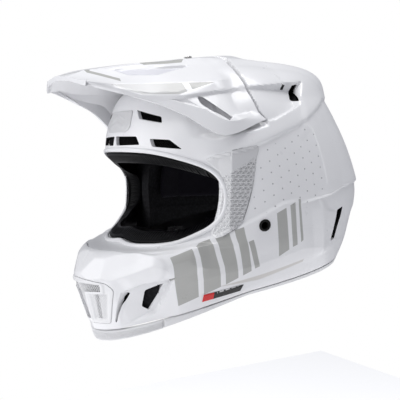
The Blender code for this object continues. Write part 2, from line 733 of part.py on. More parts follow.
def comfort_liners():
    """The washable pads round the skull, and the discs that let them slip in the foam."""
    cavity_slab("crown_liner", (36, 90), (-180, 180), 4, 20)
    cavity_slab("brow_pad", (26, 35), (-62, 62), 2, 10)
    cavity_slab("nape_liner", (-8, 35), (64, 296), 3, 14)
    spots = (("front", 50, 0), ("crown", 88, 0), ("left", 48, 90), ("right", 48, -90), ("rear", 46, 180))
    for label, latitude, longitude in spots:
        lat, lon = radians(latitude), radians(longitude)
        centre = Vector(cavity_place(lat, lon, 6.2 * MM))
        beyond = Vector(cavity_place(lat, lon, 16.2 * MM))
        disc = turned("damper_" + label, ((0, 0.9), (10, 0.9), (11, 0.3), (11, -0.7), (0, -0.7)),
                      (0.05, 0.25, 0.5), 0.4)
        facing = (beyond - centre).to_track_quat("Z", "Y").to_matrix().to_4x4()
        disc.matrix_world = Matrix.Translation(centre) @ facing


def block(name, corners, bevel, colour, roughness):
    """A six-sided solid from its outer and inner faces, each four (out, forward, up) corners."""
    bm = bmesh.new()
    bmesh.ops.create_cube(bm, size=2.0)
    for vert in bm.verts:
        face = corners[0] if vert.co.x > 0 else corners[1]
        corner = (2 if vert.co.z > 0 else 0) + (1 if vert.co.y > 0 else 0)
        vert.co = out_fwd_up(*face[corner])
    bmesh.ops.recalc_face_normals(bm, faces=bm.faces)
    made = add_object(name, mesh_from(name, bm), colour, roughness)
    rounding = made.modifiers.new("rounding", "BEVEL")
    rounding.width = bevel
    rounding.segments = 2
    smooth(made)
    return made


# Corners run front-low, back-low, front-high, back-high.
CHEEK_CORE = (((75, 70, -86), (91, 22, -80), (82, 70, -43), (100, 22, -40)),
              ((66, 70, -86), (82, 22, -80), (73, 70, -43), (91, 22, -40)))
CHEEK_PAD = (((65, 71, -88), (81, 21, -82), (72, 71, -39), (90, 21, -39)),
             ((48, 71, -84), (60, 21, -78), (53, 71, -35), (64, 21, -35)))
RELEASE_TAB = (((70, 56, -96), (74, 44, -94), (71, 56, -88), (75, 44, -87.5)),
               ((68.4, 56, -96), (72.4, 44, -94), (69.4, 56, -88), (73.4, 44, -87.5)))


def cheek_sets():
    """Each cheek has a foam core, a soft pad and the tab that pulls both out."""
    kinds = (("cheek_core_", CHEEK_CORE, 3 * MM, FOAM, 0.85),
             ("cheek_pad_", CHEEK_PAD, 6 * MM, CLOTH, 0.95),
             ("release_tab_", RELEASE_TAB, 0.4 * MM, (0.6, 0.03, 0.03), 0.7))
    for name, corners, bevel, colour, roughness in kinds:
        for side, tag in ((1, "left"), (-1, "right")):
            sided = [[(out * side, forward, up) for out, forward, up in face] for face in corners]
            block(name + tag, sided, bevel, colour, roughness)


def neck_roll():
    span = (radians(106), radians(254))
    form_slab("neck_roll", (1.0, 3.3), span, 3, 14, -9 * MM, 13 * MM, CLOTH, 0.95)


def labels():
    """The blank strip low on each side that marks the pull-out cheek pads."""
    for side, tag in ((1, "left"), (-1, "right")):
        angles = (radians(61) * side, radians(78) * side)
        if side < 0:
            angles = (angles[1], angles[0])
        form_slab("release_label_" + tag, (0.98, 1.38), angles, 1, 6, 0.9 * MM, 0.5 * MM, BLACK, 0.4)


# ---------------------------------------------------------------- chin strap
ANCHOR_FORWARD = -6
ANCHOR_UP = -47
STRAP_HALF_WIDTH = 11
STRAP_THICK = 1.8


def band(name, path):
    """Black webbing: a flat band whose middle line lies in the XZ plane, given in millimetres."""
    bm = bmesh.new()
    points = [Vector((x, z)) for x, z in path]
    rows = []
    for i, here in enumerate(points):
        before = points[max(i - 1, 0)]
        after = points[min(i + 1, len(points) - 1)]
        lead = (after - before).normalized()
        normal = Vector((-lead.y, lead.x)) * STRAP_THICK / 2
        corners = ((normal, 1), (normal, -1), (-normal, -1), (-normal, 1))
        rows.append([bm.verts.new(((here + n).x * MM, (-ANCHOR_FORWARD + STRAP_HALF_WIDTH * w) * MM,
                                   (here + n).y * MM)) for n, w in corners])
    for first, second in zip(rows, rows[1:]):
        for i in range(4):
            j = (i + 1) % 4
            bm.faces.new((first[i], first[j], second[j], second[i]))
    bm.faces.new(rows[0])
    bm.faces.new(rows[-1])
    bmesh.ops.recalc_face_normals(bm, faces=bm.faces)
    return add_object(name, mesh_from(name, bm), (0.02, 0.02, 0.02), 0.9)


def smooth_path(corners, count):
    steps = np.linspace(0, len(corners) - 1, count)
    return list(zip(*(through_stations(v, steps) for v in zip(*corners))))


LOOP_X = 50
LOOP_UP = -89
LEFT_STRAP = ((97.6, -38), (97.6, -56), (92, -68), (83, -79), (70, -86), (56, -89))
RIGHT_STRAP = ((-97.6, -38), (-97.6, -56), (-92, -68), (-82, -79), (-66, -87), (-40, -90.5), (-8, -90.5),
               (12, -89))


def chin_strap():
    """Two webbing halves on rivets; the left one ends in a pair of D-rings."""
    left = band("chin_strap_left", smooth_path(LEFT_STRAP, 14))
    right = band("chin_strap_right", smooth_path(RIGHT_STRAP, 20))
    loop = [(LOOP_X + 6.2 * cos(a), LOOP_UP + 4.4 * sin(a)) for a in np.linspace(0, 2 * pi, 17)[:-1]]
    hollow = [(LOOP_X + 4.9 * cos(a), LOOP_UP + 3.1 * sin(a)) for a in np.linspace(0, 2 * pi, 17)[:-1]]
    low = (-ANCHOR_FORWARD - STRAP_HALF_WIDTH * 0.8) * MM
    high = (-ANCHOR_FORWARD + STRAP_HALF_WIDTH * 0.8) * MM

    def upright(x, z, level):
        return Vector((x * MM, level, z * MM))

    add_boolean(left, as_cutter("strap_loop", prism("strap_loop", loop, low, high, upright)), "UNION")
    bore = prism("strap_hollow", hollow, low - 0.01, high + 0.01, upright)
    add_boolean(left, as_cutter("strap_hollow", bore))
    for strap, side, tag in ((left, 1, "left"), (right, -1, "right")):
        centre = Vector((97.6 * MM * side, -ANCHOR_FORWARD * MM, ANCHOR_UP * MM))
        hole = as_cutter("rivet_hole_" + tag, cylinder_mesh("rivet_hole", 3.5 * MM, -0.01, 0.01, 16))
        hole.location = centre
        add_boolean(strap, hole)
        plate = add_object("strap_anchor_" + tag, plate_mesh(side), STEEL, 0.35, 0.9)
        plate_hole = as_cutter("plate_hole_" + tag, cylinder_mesh("plate_hole", 3.5 * MM, -0.03, 0.03, 16))
        plate_hole.location = centre
        add_boolean(plate, plate_hole)
        rivet = turned("strap_rivet_" + tag,
                       ((0, 5.6), (3.1, 5.6), (3.1, -1.3), (6, -1.3), (5, -2.6), (0, -2.6)), STEEL, 0.3, 0.9)
        facing = Matrix.Rotation(pi / 2 * side, 4, "Y")
        rivet.matrix_world = Matrix.Translation(centre) @ facing
    for label, lift in (("upper", 1.55), ("lower", -1.55)):
        d_ring(label, LOOP_UP + lift)
    stud = turned("strap_snap", ((0, 1.6), (5, 1.6), (6, 0.4), (6, 0), (0, 0)), STEEL, 0.3, 0.9, 16)
    stud.location = (-20 * MM, -ANCHOR_FORWARD * MM, -89.1 * MM)


def plate_mesh(side):
    """A steel plate between the strap and the shell."""
    outline = rounded([(ANCHOR_FORWARD - 10, -38), (ANCHOR_FORWARD + 10, -38),
                       (ANCHOR_FORWARD + 10, -57), (ANCHOR_FORWARD - 10, -57)], 1)
    low, high = (99.4, 100.8) if side > 0 else (-100.8, -99.4)
    return prism("plate", outline, low, high, from_side)


def d_ring(label, level):
    """A bent-wire D: a straight bar in the strap's loop and a round bow beyond it."""
    curve = bpy.data.curves.new("d_ring", "CURVE")
    curve.dimensions = "3D"
    curve.bevel_depth = 1.2 * MM
    curve.bevel_resolution = 1
    spline = curve.splines.new("POLY")
    bow = [(-9 - 13 * sin(a), 12.5 * cos(a)) for a in np.linspace(0, pi, 10)]
    points = [(0, 12.5)] + bow + [(0, -12.5)]
    spline.points.add(len(points) - 1)
    for point, (x, y) in zip(spline.points, points):
        point.co = (x * MM, y * MM, 0, 1)
    spline.use_cyclic_u = True
    made = bpy.data.objects.new("d_ring_" + label, curve)
    PARTS.objects.link(made)
    curve.materials.append(material("d_ring_" + label, STEEL, 0.25, 0.95))
    made.location = (LOOP_X * MM, -ANCHOR_FORWARD * MM, level * MM)


outer_shell()
rim_trims()
eyeport_trim()
vents()
badge()
side_panels()
ports()
mouthpiece()
visor()
visor_fixings()
eps_liners()
comfort_liners()
cheek_sets()
neck_roll()
labels()
chin_strap()
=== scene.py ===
"""The looks of the motocross helmet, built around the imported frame.

Millimetre triples are (out, forward, up): the face looks along -Y and the rider's left is +X.
"""

import json
from functools import reduce
from math import cos, pi, radians, sin

import bmesh
import bpy
import numpy as np
from mathutils import Matrix, Vector
from mathutils.bvhtree import BVHTree

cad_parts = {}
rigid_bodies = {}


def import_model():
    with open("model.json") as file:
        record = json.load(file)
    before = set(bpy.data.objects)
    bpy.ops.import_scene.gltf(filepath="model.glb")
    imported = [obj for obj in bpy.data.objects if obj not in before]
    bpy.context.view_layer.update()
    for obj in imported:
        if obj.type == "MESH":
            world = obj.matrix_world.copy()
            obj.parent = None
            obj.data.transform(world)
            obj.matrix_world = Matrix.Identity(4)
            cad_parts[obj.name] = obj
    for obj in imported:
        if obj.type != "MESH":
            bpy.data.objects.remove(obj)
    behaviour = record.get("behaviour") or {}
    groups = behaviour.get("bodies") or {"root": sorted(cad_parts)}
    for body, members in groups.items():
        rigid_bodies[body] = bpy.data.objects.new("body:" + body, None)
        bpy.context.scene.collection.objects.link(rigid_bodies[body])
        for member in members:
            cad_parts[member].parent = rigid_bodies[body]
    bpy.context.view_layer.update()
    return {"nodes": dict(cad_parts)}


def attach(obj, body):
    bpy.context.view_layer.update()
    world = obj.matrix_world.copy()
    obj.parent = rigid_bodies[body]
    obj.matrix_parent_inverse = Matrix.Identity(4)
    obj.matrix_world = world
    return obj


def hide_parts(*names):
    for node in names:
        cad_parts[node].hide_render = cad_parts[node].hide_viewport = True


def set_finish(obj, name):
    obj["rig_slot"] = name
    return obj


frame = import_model()
MM = 0.001

# ------------------------------------------------------------------ camera and light
VIEW_TARGET = Vector((0, -0.02, 0))
VIEW_AZIMUTH = radians(58)
VIEW_PITCH = radians(3.7)
VIEW_DISTANCE = 0.75
VIEW_LENS = 63.36
FILL_STRENGTH = 0.34
FLOOR_SIZE = 3
FLOOR_LEVEL = -0.75


def linked(name, data):
    """A new object of the scene that holds this data."""
    made = bpy.data.objects.new(name, data)
    bpy.context.scene.collection.objects.link(made)
    return made


def aim(made, place, target):
    made.location = place
    made.rotation_euler = (Vector(target) - Vector(place)).to_track_quat("-Z", "Y").to_euler()


def make_camera():
    data = bpy.data.cameras.new("camera")
    data.lens = VIEW_LENS
    data.sensor_width = 36
    data.clip_start = 0.01
    camera = linked("camera", data)
    level = cos(VIEW_PITCH)
    back = Vector((sin(VIEW_AZIMUTH) * level, -cos(VIEW_AZIMUTH) * level, sin(VIEW_PITCH)))
    aim(camera, VIEW_TARGET + back * VIEW_DISTANCE, VIEW_TARGET)
    bpy.context.scene.camera = camera


def area_light(name, place, target, size, power, size_y=None):
    data = bpy.data.lights.new(name, "AREA")
    data.energy = power
    data.size = size
    if size_y:
        data.shape = "RECTANGLE"
        data.size_y = size_y
    aim(linked(name, data), place, target)


def make_world():
    """A dim cool fill, which the camera itself sees as plain white."""
    world = bpy.data.worlds.new("studio")
    bpy.context.scene.world = world
    world.use_nodes = True
    tree = world.node_tree
    fill = tree.nodes["Background"]
    white = tree.nodes.new("ShaderNodeBackground")
    fill.inputs["Color"].default_value = (0.90, 0.92, 1.0, 1)
    fill.inputs["Strength"].default_value = FILL_STRENGTH
    white.inputs["Color"].default_value = (1, 1, 1, 1)
    white.inputs["Strength"].default_value = 1.0
    path = tree.nodes.new("ShaderNodeLightPath")
    mix = tree.nodes.new("ShaderNodeMixShader")
    sources = (path.outputs["Is Camera Ray"], fill.outputs[0], white.outputs[0])
    for source, socket in zip(sources, mix.inputs):
        tree.links.new(source, socket)
    tree.links.new(mix.outputs[0], tree.nodes["World Output"].inputs["Surface"])


def make_floor():
    """A white sweep well below the helmet."""
    bpy.ops.mesh.primitive_plane_add(size=FLOOR_SIZE, location=(0, 0, FLOOR_LEVEL))
    floor = bpy.context.object
    floor.name = "floor"
    paint = bpy.data.materials.new("floor")
    paint.use_nodes = True
    shader = paint.node_tree.nodes["Principled BSDF"]
    shader.inputs["Base Color"].default_value = (0.92, 0.92, 0.93, 1)
    shader.inputs["Roughness"].default_value = 0.9
    shader.inputs["Emission Color"].default_value = (1, 1, 1, 1)
    shader.inputs["Emission Strength"].default_value = 0.45
    floor.data.materials.append(paint)


make_camera()
make_world()
bpy.context.scene.view_settings.view_transform = "Standard"
area_light("key", (-0.15, -1.8, 0.62), (0, 0, 0), 1.9, 26)
area_light("top", (0.2, 0.1, 1.8), (0, 0, 0), 1.2, 24)
area_light("strip", (1.0, 1.5, 0.35), (0.05, 0, 0), 0.22, 3.0, size_y=1.4)
make_floor()

# ------------------------------------------------------------------ outer form
# The same rings as the frame's shell: front (forward, up), side (out, forward, up),
# back (forward, up), and how square the front and back halves are.
STATIONS = (
    ((139, -134), (97, 25, -85), (-138, -66), 1.70, 2.50),
    ((146, -112), (103, 18, -75), (-142, -52), 1.70, 2.50),
    ((154, -88), (109, 10, -60), (-145, -36), 1.72, 2.50),
    ((160, -66), (113, 4, -45), (-148, -20), 1.75, 2.45),
    ((148, -46), (116, 0, -34), (-151, -7), 1.80, 2.40),
    ((114, -36), (118, -3, -22), (-155, 3), 1.90, 2.35),
    ((112, 5), (121, -8, 8), (-156, 19), 1.90, 2.22),
    ((119, 52), (120, -10, 42), (-147, 50), 1.95, 2.12),
    ((114, 84), (114, -12, 72), (-135, 80), 2.00, 2.02),
    ((100, 110), (101, -16, 100), (-120, 108), 2.10, 1.95),
    ((62, 137), (72, -24, 131), (-104, 135), 2.15, 2.00),
    ((-20, 152), (0, -20, 152), (-20, 152), 2.15, 2.40),
)
RING_DROP = 1.25
SEAT_DEPTH = 5.0
RIM_STATION = 0.55
SHELL_WALL = 3.2


def crossed(down, across):
    """Every pair of a value down a grid and a value across it, as two flat arrays."""
    return [values.ravel() for values in np.meshgrid(down, across, indexing="ij")]


def closing(outline):
    """The outline with its first point again at the end."""
    return list(outline) + [outline[0]]


def through_stations(values, s):
    """Catmull-Rom curve through one number of every station."""
    values = np.asarray(values, float)
    last = len(values) - 1
    s = np.clip(np.asarray(s, float), 0, last - 1e-9)
    i = s.astype(int)
    u = s - i
    here = values[i]
    after = values[i + 1]
    before = np.where(i > 0, values[np.maximum(i - 1, 0)], 2 * here - after)
    beyond = np.where(i + 2 <= last, values[np.minimum(i + 2, last)], 2 * after - here)
    return 0.5 * (2 * here + (after - before) * u
                  + (2 * before - 5 * here + 4 * after - beyond) * u ** 2
                  + (3 * here - before - 3 * after + beyond) * u ** 3)


def form_point(s, t):
    """Point of the outer form at station s and ring angle t: 0 front, +-pi/2 sides, pi back."""
    s = np.asarray(s, float)
    t = np.asarray(t, float)
    front = np.cos(t) >= 0
    rings = list(zip(*STATIONS))
    square = np.where(front, through_stations(rings[3], s), through_stations(rings[4], s))
    along = np.abs(np.cos(t)) ** (2 / square)
    across = np.abs(np.sin(t)) ** (2 / square) * np.sign(np.sin(t))
    side_out, side_fwd, side_up = (through_stations(v, s) for v in zip(*rings[1]))
    front_fwd, front_up = (through_stations(v, s) for v in zip(*rings[0]))
    back_fwd, back_up = (through_stations(v, s) for v in zip(*rings[2]))
    end_fwd = np.where(front, front_fwd, back_fwd)
    end_up = np.where(front, front_up, back_up)
    drop = np.where(front, along ** RING_DROP, along)
    x = side_out * across
    forward = side_fwd + (end_fwd - side_fwd) * along
    up = side_up + (end_up - side_up) * drop
    return np.stack([x, -forward, up], -1) * MM


def form_normal(s, t):
    step = 0.02
    top = len(STATIONS) - 1
    high = np.minimum(np.asarray(s, float) + step, top - 0.001)
    low = np.maximum(high - 2 * step, 0)
    rise = form_point(high, t) - form_point(low, t)
    turn = form_point(s, np.asarray(t) + step) - form_point(s, np.asarray(t) - step)
    normal = np.cross(turn, rise)
    normal = normal / np.maximum(np.linalg.norm(normal, axis=-1, keepdims=True), 1e-12)
    at_crown = np.asarray(s, float)[..., None] > top - 0.01
    return np.where(at_crown, np.array([0.0, 0.0, 1.0]), normal)


def ramp(value, low, high):
    """0 below low, 1 above high, smooth between them."""
    u = np.clip((value - low) / (high - low), 0, 1)
    return u * u * (3 - 2 * u)


def hinge_ramp(value, low, high):
    """0 below low, 1 above high, straight between them."""
    return np.clip((value - low) / (high - low), 0, 1)


def out_fwd_up(place):
    """Columns out (unsigned), forward and up, in millimetres."""
    return np.abs(place[..., 0]) / MM, -place[..., 1] / MM, place[..., 2] / MM


# ------------------------------------------------------------------ lines and outlines in a plane
def to_line(points, line):
    """Distance to an open line, whether on its left, how far along it, and its length."""
    best = np.full(len(points), 1e9)
    left = np.zeros(len(points), bool)
    along = np.zeros(len(points))
    run = 0.0
    for a, b in zip(line, line[1:]):
        a = np.array(a, float)
        step = np.array(b, float) - a
        length = np.hypot(*step)
        lead = step / length
        rel = points - a
        u = np.clip(rel @ lead, 0, length)
        d = np.hypot(*(rel - u[:, None] * lead).T)
        closer = d < best
        best = np.where(closer, d, best)
        left = np.where(closer, lead[0] * rel[:, 1] - lead[1] * rel[:, 0] > 0, left)
        along = np.where(closer, run + u, along)
        run += length
    return best, left, along, run


def inside_depth(points, outline):
    """How far inside a closed outline each point lies; negative outside."""
    best, _, _, _ = to_line(points, closing(outline))
    inside = np.zeros(len(points), bool)
    x, y = points.T
    for (ax, ay), (bx, by) in zip(outline, closing(outline)[1:]):
        crosses = (ay > y) != (by > y)
        at = ax + (y - ay) * (bx - ax) / (by - ay if by != ay else 1e-9)
        inside ^= crosses & (x < at)
    return np.where(inside, best, -best)


def tent(points, line, height, left_reach, right_reach, fade=10):
    """A ridge with a sharp crest along a line, dying out to each side and at the ends."""
    d, left, along, run = to_line(points, line)
    reach = np.where(left, left_reach, right_reach)
    ends = ramp(along, 0, fade) * ramp(run - along, 0, fade)
    return height * np.clip(1 - d / reach, 0, 1) * ends


def overhang(points, line, height, reach, edge=1.6, fade=10):
    """A raised edge: full height just left of the line, dying out over reach; none on the right."""
    d, left, along, run = to_line(points, line)
    ends = ramp(along, 0, fade) * ramp(run - along, 0, fade)
    return height * ends * np.where(left, 1 - hinge_ramp(d, edge, reach) ** 0.8, 1 - ramp(d, 0, edge))


def recess(points, outline, shallow, deep, start, end, wall):
    """A hollow inside an outline; its depth runs from shallow at start to deep at end."""
    inside = inside_depth(points, outline)
    start = np.array(start, float)
    axis = np.array(end, float) - start
    share = np.clip((points - start) @ axis / (axis @ axis), 0, 1)
    return -(shallow + (deep - shallow) * share) * ramp(inside, 0, wall)


# Side view lines, (forward, up) in millimetres, from the back to the front.
CAP_EDGE = ((-150, 96), (-118, 112), (-73, 105), (-21, 79), (18, 63), (30, 58), (60, 50), (84, 44))
REAR_CREASE_HIGH = ((-50, 12), (-39, 61), (-36, 73), (-20, 79))
REAR_CREASE_LOW = ((-62, -54), (-53, -26), (-46, -4), (-52, 4))
REAR_LEDGE = ((-158, 20), (-108, 22), (-78, 18), (-60, 12), (-24, 6), (10, 0))
CHIN_RIDGE = ((70, -42), (99, -51), (123, -67), (137, -76))
HIP_LINE = ((-66, -44), (-30, -42), (10, -50), (60, -62), (92, -70))
# This one runs from the front to the back, so that its low side faces down.
BELT_LINE = ((126, -43), (118, -46), (96, -43), (63, -28), (30, -12), (4, 2), (-20, 6))
CHIN_SCOOP = ((134, -79), (122, -71), (97.5, -63.5), (107.5, -100), (133, -117))
TOP_SCOOP = ((60, 108), (30, 111.5), (-28, 118.5), (-50, 122.5), (-28, 95.5), (8, 79.5), (15, 79), (60, 76))
# Flats on the chin: the way each one faces (out, forward, up) and how deep it cuts, in millimetres.
FACETS = (
    ((0.0, 0.83, 0.55), 2.6),
    ((0.36, 0.89, 0.26), 1.8),
    ((0.60, 0.77, 0.22), 2.9),
    ((0.73, 0.63, -0.27), 2.9),
    ((0.93, 0.36, 0.08), 2.2),
)
FACET_DEEPEST = 3.3
# Top view lines, (out, forward): the shelf round the chin, and the fin beside the crown.
CHIN_SHELF = ((-4, 142.5), (18, 141), (47.7, 130), (68.3, 115), (88.3, 98), (96, 78))
CROWN_FIN = ((60, -116), (52, -60), (42, 10))
FIN_HEIGHT = 3.4
FAIRING_HEIGHT = 4.2


def visor_rear(out, up):
    """How far forward the step behind the visor's rear edge lies, clear of the visor as it tilts."""
    across_top = np.interp(out, (0, 42, 59, 76, 90), (13.2, 15.3, 19.4, 22.6, 23.2))
    down_side = np.interp(up, (70, 81, 88, 106, 118), (14.5, 15.5, 20.4, 22.0, 23.3))
    return np.where(up > 118, across_top, down_side)


def visor_seat(place):
    """Depth of the seat: a shallow step just behind the visor's thin rear edge, then a deeper floor."""
    out, forward, up = out_fwd_up(place)
    rear = visor_rear(out, up)
    share = 0.68 * ramp(forward, rear - 0.7, rear) + 0.32 * ramp(forward, rear + 6, rear + 10)
    low = np.interp(forward, (15, 60), (73, 61))
    return share * (1 - ramp(forward, 62, 84)) * ramp(up, low, low + 8) * SEAT_DEPTH


def facet_planes():
    """Each flat as a unit direction and how far out its plane lies."""
    chin = np.stack(out_fwd_up(form_point(*crossed(np.linspace(1, 5, 60), np.linspace(0, pi / 2, 90)))), -1)
    chin = chin[(chin[:, 2] > -112) & (chin[:, 2] < -44)]
    planes = []
    for direction, depth in FACETS:
        facing = np.array(direction) / np.linalg.norm(direction)
        planes.append((facing, (chin @ facing).max() - depth))
    return planes


FACET_PLANES = facet_planes()


def shave(place, normal, plane, level):
    """How deep a flat cuts into the form, in millimetres."""
    folded = np.stack(out_fwd_up(place), -1)
    outward = np.stack([normal[:, 0] * np.sign(place[:, 0] + 1e-9), -normal[:, 1], normal[:, 2]], -1)
    facing = np.maximum(outward @ plane, 0.3)
    return np.clip((folded @ plane - level) / facing, 0, FACET_DEEPEST)


def sculpt(place, normal, seated=True):
    """How far the skin of the shell stands off the plain form, in millimetres."""
    out, forward, up = out_fwd_up(place)
    side = np.stack([forward, up], -1)
    top = np.stack([out, forward], -1)
    at_side = ramp(out, 30, 55)
    seat = visor_seat(place) * seated
    unseated = 1 - seat / SEAT_DEPTH
    lift = -seat
    flats = np.max([shave(place, normal, plane, level) for plane, level in FACET_PLANES], axis=0)
    lift -= flats * (1 - ramp(up, -38, -30)) * ramp(forward, 40, 60)
    lift += overhang(side, CAP_EDGE, 2.4, 60, edge=3.6, fade=22) * ramp(out, 20, 60) * unseated
    lift += 1.2 * ramp(up, 146, 151) * unseated
    shelf = overhang(top, CHIN_SHELF, 1.1, 20, edge=1.0, fade=8)
    lift += shelf * ramp(up, -74, -60) * (1 - ramp(up, -36, -30))
    lift += tent(side, REAR_CREASE_HIGH, 2.6, 30, 16) * at_side
    lift += tent(side, REAR_CREASE_LOW, 2.2, 26, 14) * at_side
    lift += overhang(side, REAR_LEDGE, 3.0, 60, edge=3.6, fade=40) * ramp(-forward, -10, 60)
    lift += overhang(side, BELT_LINE, 1.9, 34, edge=3.0, fade=14) * at_side
    lift += tent(side, CHIN_RIDGE, 2.4, 16, 14) * ramp(out, 25, 45)
    lift += tent(side, HIP_LINE, 1.6, 20, 16, fade=25) * at_side
    lift += recess(side, CHIN_SCOOP, 0.6, 7.5, (133, -95), (106, -82), wall=2.2) * ramp(out, 30, 42)
    wall = np.interp(forward, (-36, -20), (6.5, 2.2))
    lift += recess(side, TOP_SCOOP, 1.5, 8.5, (24, 100), (-30, 108), wall=wall) * ramp(out, 50, 70)
    behind = visor_rear(out, up) - forward
    fairing = FAIRING_HEIGHT * (1 - ramp(behind, -2, 58)) * (1 - ramp(forward, 30, 60))
    fairing *= (1 - ramp(out, 40, 60)) * ramp(up, 100, 125)
    fin = tent(top, CROWN_FIN, FIN_HEIGHT, 20, 15, fade=6) * ramp(up, 100, 130)
    return lift + fin * (1 - ramp(forward, -30, 10)) + fairing


# ------------------------------------------------------------------ meshes
CORNER_STEPS = 3


def mesh_object(name, points, faces):
    mesh = bpy.data.meshes.new(name)
    mesh.from_pydata(points, [], faces)
    mesh.update()
    return linked(name, mesh)


def from_bmesh(name, bm):
    """A new object with what a bmesh holds; the bmesh is freed."""
    mesh = bpy.data.meshes.new(name)
    bm.to_mesh(mesh)
    bm.free()
    return linked(name, mesh)


def edit(made, change):
    """Puts a mesh through a bmesh that change alters."""
    bm = bmesh.new()
    bm.from_mesh(made.data)
    change(bm)
    bm.to_mesh(made.data)
    bm.free()


def grid_faces(rows, columns, ring=False, first=0, flip=False):
    """Quads of rows x columns cells, whose columns are open or close into a ring."""
    wide = columns if ring else columns + 1
    r = np.arange(rows)[:, None]
    c = np.arange(columns)[None, :]
    n = (c + 1) % wide
    quads = np.stack([r * wide + c, r * wide + n, (r + 1) * wide + n, (r + 1) * wide + c], -1)
    quads = quads.reshape(-1, 4) + first
    return (quads[:, ::-1] if flip else quads).tolist()


def torus_faces(rows, columns):
    """Quads of a grid that closes both ways."""
    last = (rows - 1) * columns
    seam = [(last + k, last + (k + 1) % columns, (k + 1) % columns, k) for k in range(columns)]
    return grid_faces(rows - 1, columns, ring=True) + seam


def smooth(made, angle=30):
    made.data.shade_smooth()
    made.data.set_sharp_from_angle(angle=radians(angle))


def face_out(made):
    edit(made, lambda bm: bmesh.ops.recalc_face_normals(bm, faces=bm.faces))


def stands_for(made, body, slot, *nodes):
    """The piece rides a body, takes a slot's finish and is shown in place of these nodes."""
    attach(made, body)
    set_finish(made, slot)
    if nodes:
        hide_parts(*nodes)


def apply_modifiers(made):
    """The evaluated mesh takes the place of the mesh and its modifiers."""
    graph = bpy.context.evaluated_depsgraph_get()
    mesh = bpy.data.meshes.new_from_object(made.evaluated_get(graph))
    made.modifiers.clear()
    made.data = mesh


def modify(made, kind, **settings):
    """Puts one modifier on a piece and applies it."""
    modifier = made.modifiers.new(kind, kind)
    for name, value in settings.items():
        setattr(modifier, name, value)
    apply_modifiers(made)


def remove(made):
    bpy.data.objects.remove(made, do_unlink=True)


def cut(made, cutters, operation="DIFFERENCE"):
    """Takes the cutters out of a closed piece, or keeps what lies inside them, and removes them."""
    for cutter in cutters:
        modifier = made.modifiers.new("cut", "BOOLEAN")
        modifier.operation = operation
        modifier.solver = "MANIFOLD"
        modifier.object = cutter
    apply_modifiers(made)
    for cutter in cutters:
        remove(cutter)


def prism(outline, low, high, place):
    """A closed prism between two levels; place turns (a, b, level) into a point."""
    bm = bmesh.new()
    bottom, top = ([bm.verts.new(place(p[0], p[1], level)) for p in outline] for level in (low, high))
    bm.faces.new(bottom)
    bm.faces.new(top)
    for i in range(len(outline)):
        j = (i + 1) % len(outline)
        bm.faces.new((bottom[i], bottom[j], top[j], top[i]))
    bmesh.ops.recalc_face_normals(bm, faces=bm.faces)
    return from_bmesh("prism", bm)


def from_front(out, up, forward):
    return Vector((out, -forward, up)) * MM


def from_side(forward, up, out):
    return from_front(out, up, forward)


def from_top(out, forward, up):
    return from_front(out, up, forward)


def side_prism(outline, near, side):
    """A prism through one side of the helmet, from near the middle to well outside."""
    low, high = sorted((near * side, 200 * side))
    return prism(outline, low, high, from_side)


def both_halves(half):
    """An outline (out, up) made whole from its left half."""
    return list(half) + [(-out, up) for out, up in reversed(half) if out > 0]


def for_side(outline, side):
    """An outline of the left side, mirrored for the right."""
    return [(a * side, b) for a, b in outline]


def rounded(outline, steps=2):
    """A closed outline with its corners cut repeatedly, which leaves them round."""
    points = [Vector(p) for p in outline]
    for _ in range(steps):
        pairs = zip(points, closing(points)[1:])
        points = [here.lerp(after, share) for here, after in pairs for share in (0.25, 0.75)]
    return points


def soft_corners(outline, radius):
    """A closed outline whose corners are arcs that begin this far from each corner."""
    points = []
    corners = [Vector(p) for p in outline]
    for before, here, after in zip(corners[-1:] + corners, corners, closing(corners)[1:]):
        back, ahead = before - here, after - here
        a = here + back.normalized() * min(radius, back.length * 0.45)
        b = here + ahead.normalized() * min(radius, ahead.length * 0.45)
        for u in (k / CORNER_STEPS for k in range(CORNER_STEPS + 1)):
            points.append(a * (1 - u) ** 2 + here * 2 * u * (1 - u) + b * u ** 2)
    return points


def doubled_area(outline):
    """Twice the area of a closed outline, negative when it runs clockwise."""
    return sum(a[0] * b[1] - b[0] * a[1] for a, b in zip(outline, closing(outline)[1:]))


def grown(outline, amount):
    """An outline moved outwards, measured along each corner's bisector."""
    points = [Vector(p) for p in outline]
    turn = 1 if doubled_area(points) > 0 else -1
    moved = []
    for before, here, after in zip(points[-1:] + points, points, closing(points)[1:]):
        lead = (here - before).normalized() + (after - here).normalized()
        moved.append(here + Vector((lead.y, -lead.x)).normalized() * turn * amount)
    return moved


# Front view outlines, (out, up): these two are left halves, to be made whole.
EYEPORT = ((0, 52), (44, 51), (66, 47), (88, 39), (97, 30), (100, 16), (99, -4), (92, -18),
           (80, -27), (66, -35), (31, -38), (13, -37), (0, -35))
MOUTH = ((0, -69), (36, -72), (41, -78), (27, -113), (0, -116))
EYEPORT_OUTLINE = rounded(both_halves(EYEPORT), 2)
MOUTH_OUTLINE = soft_corners(both_halves(MOUTH), 3)
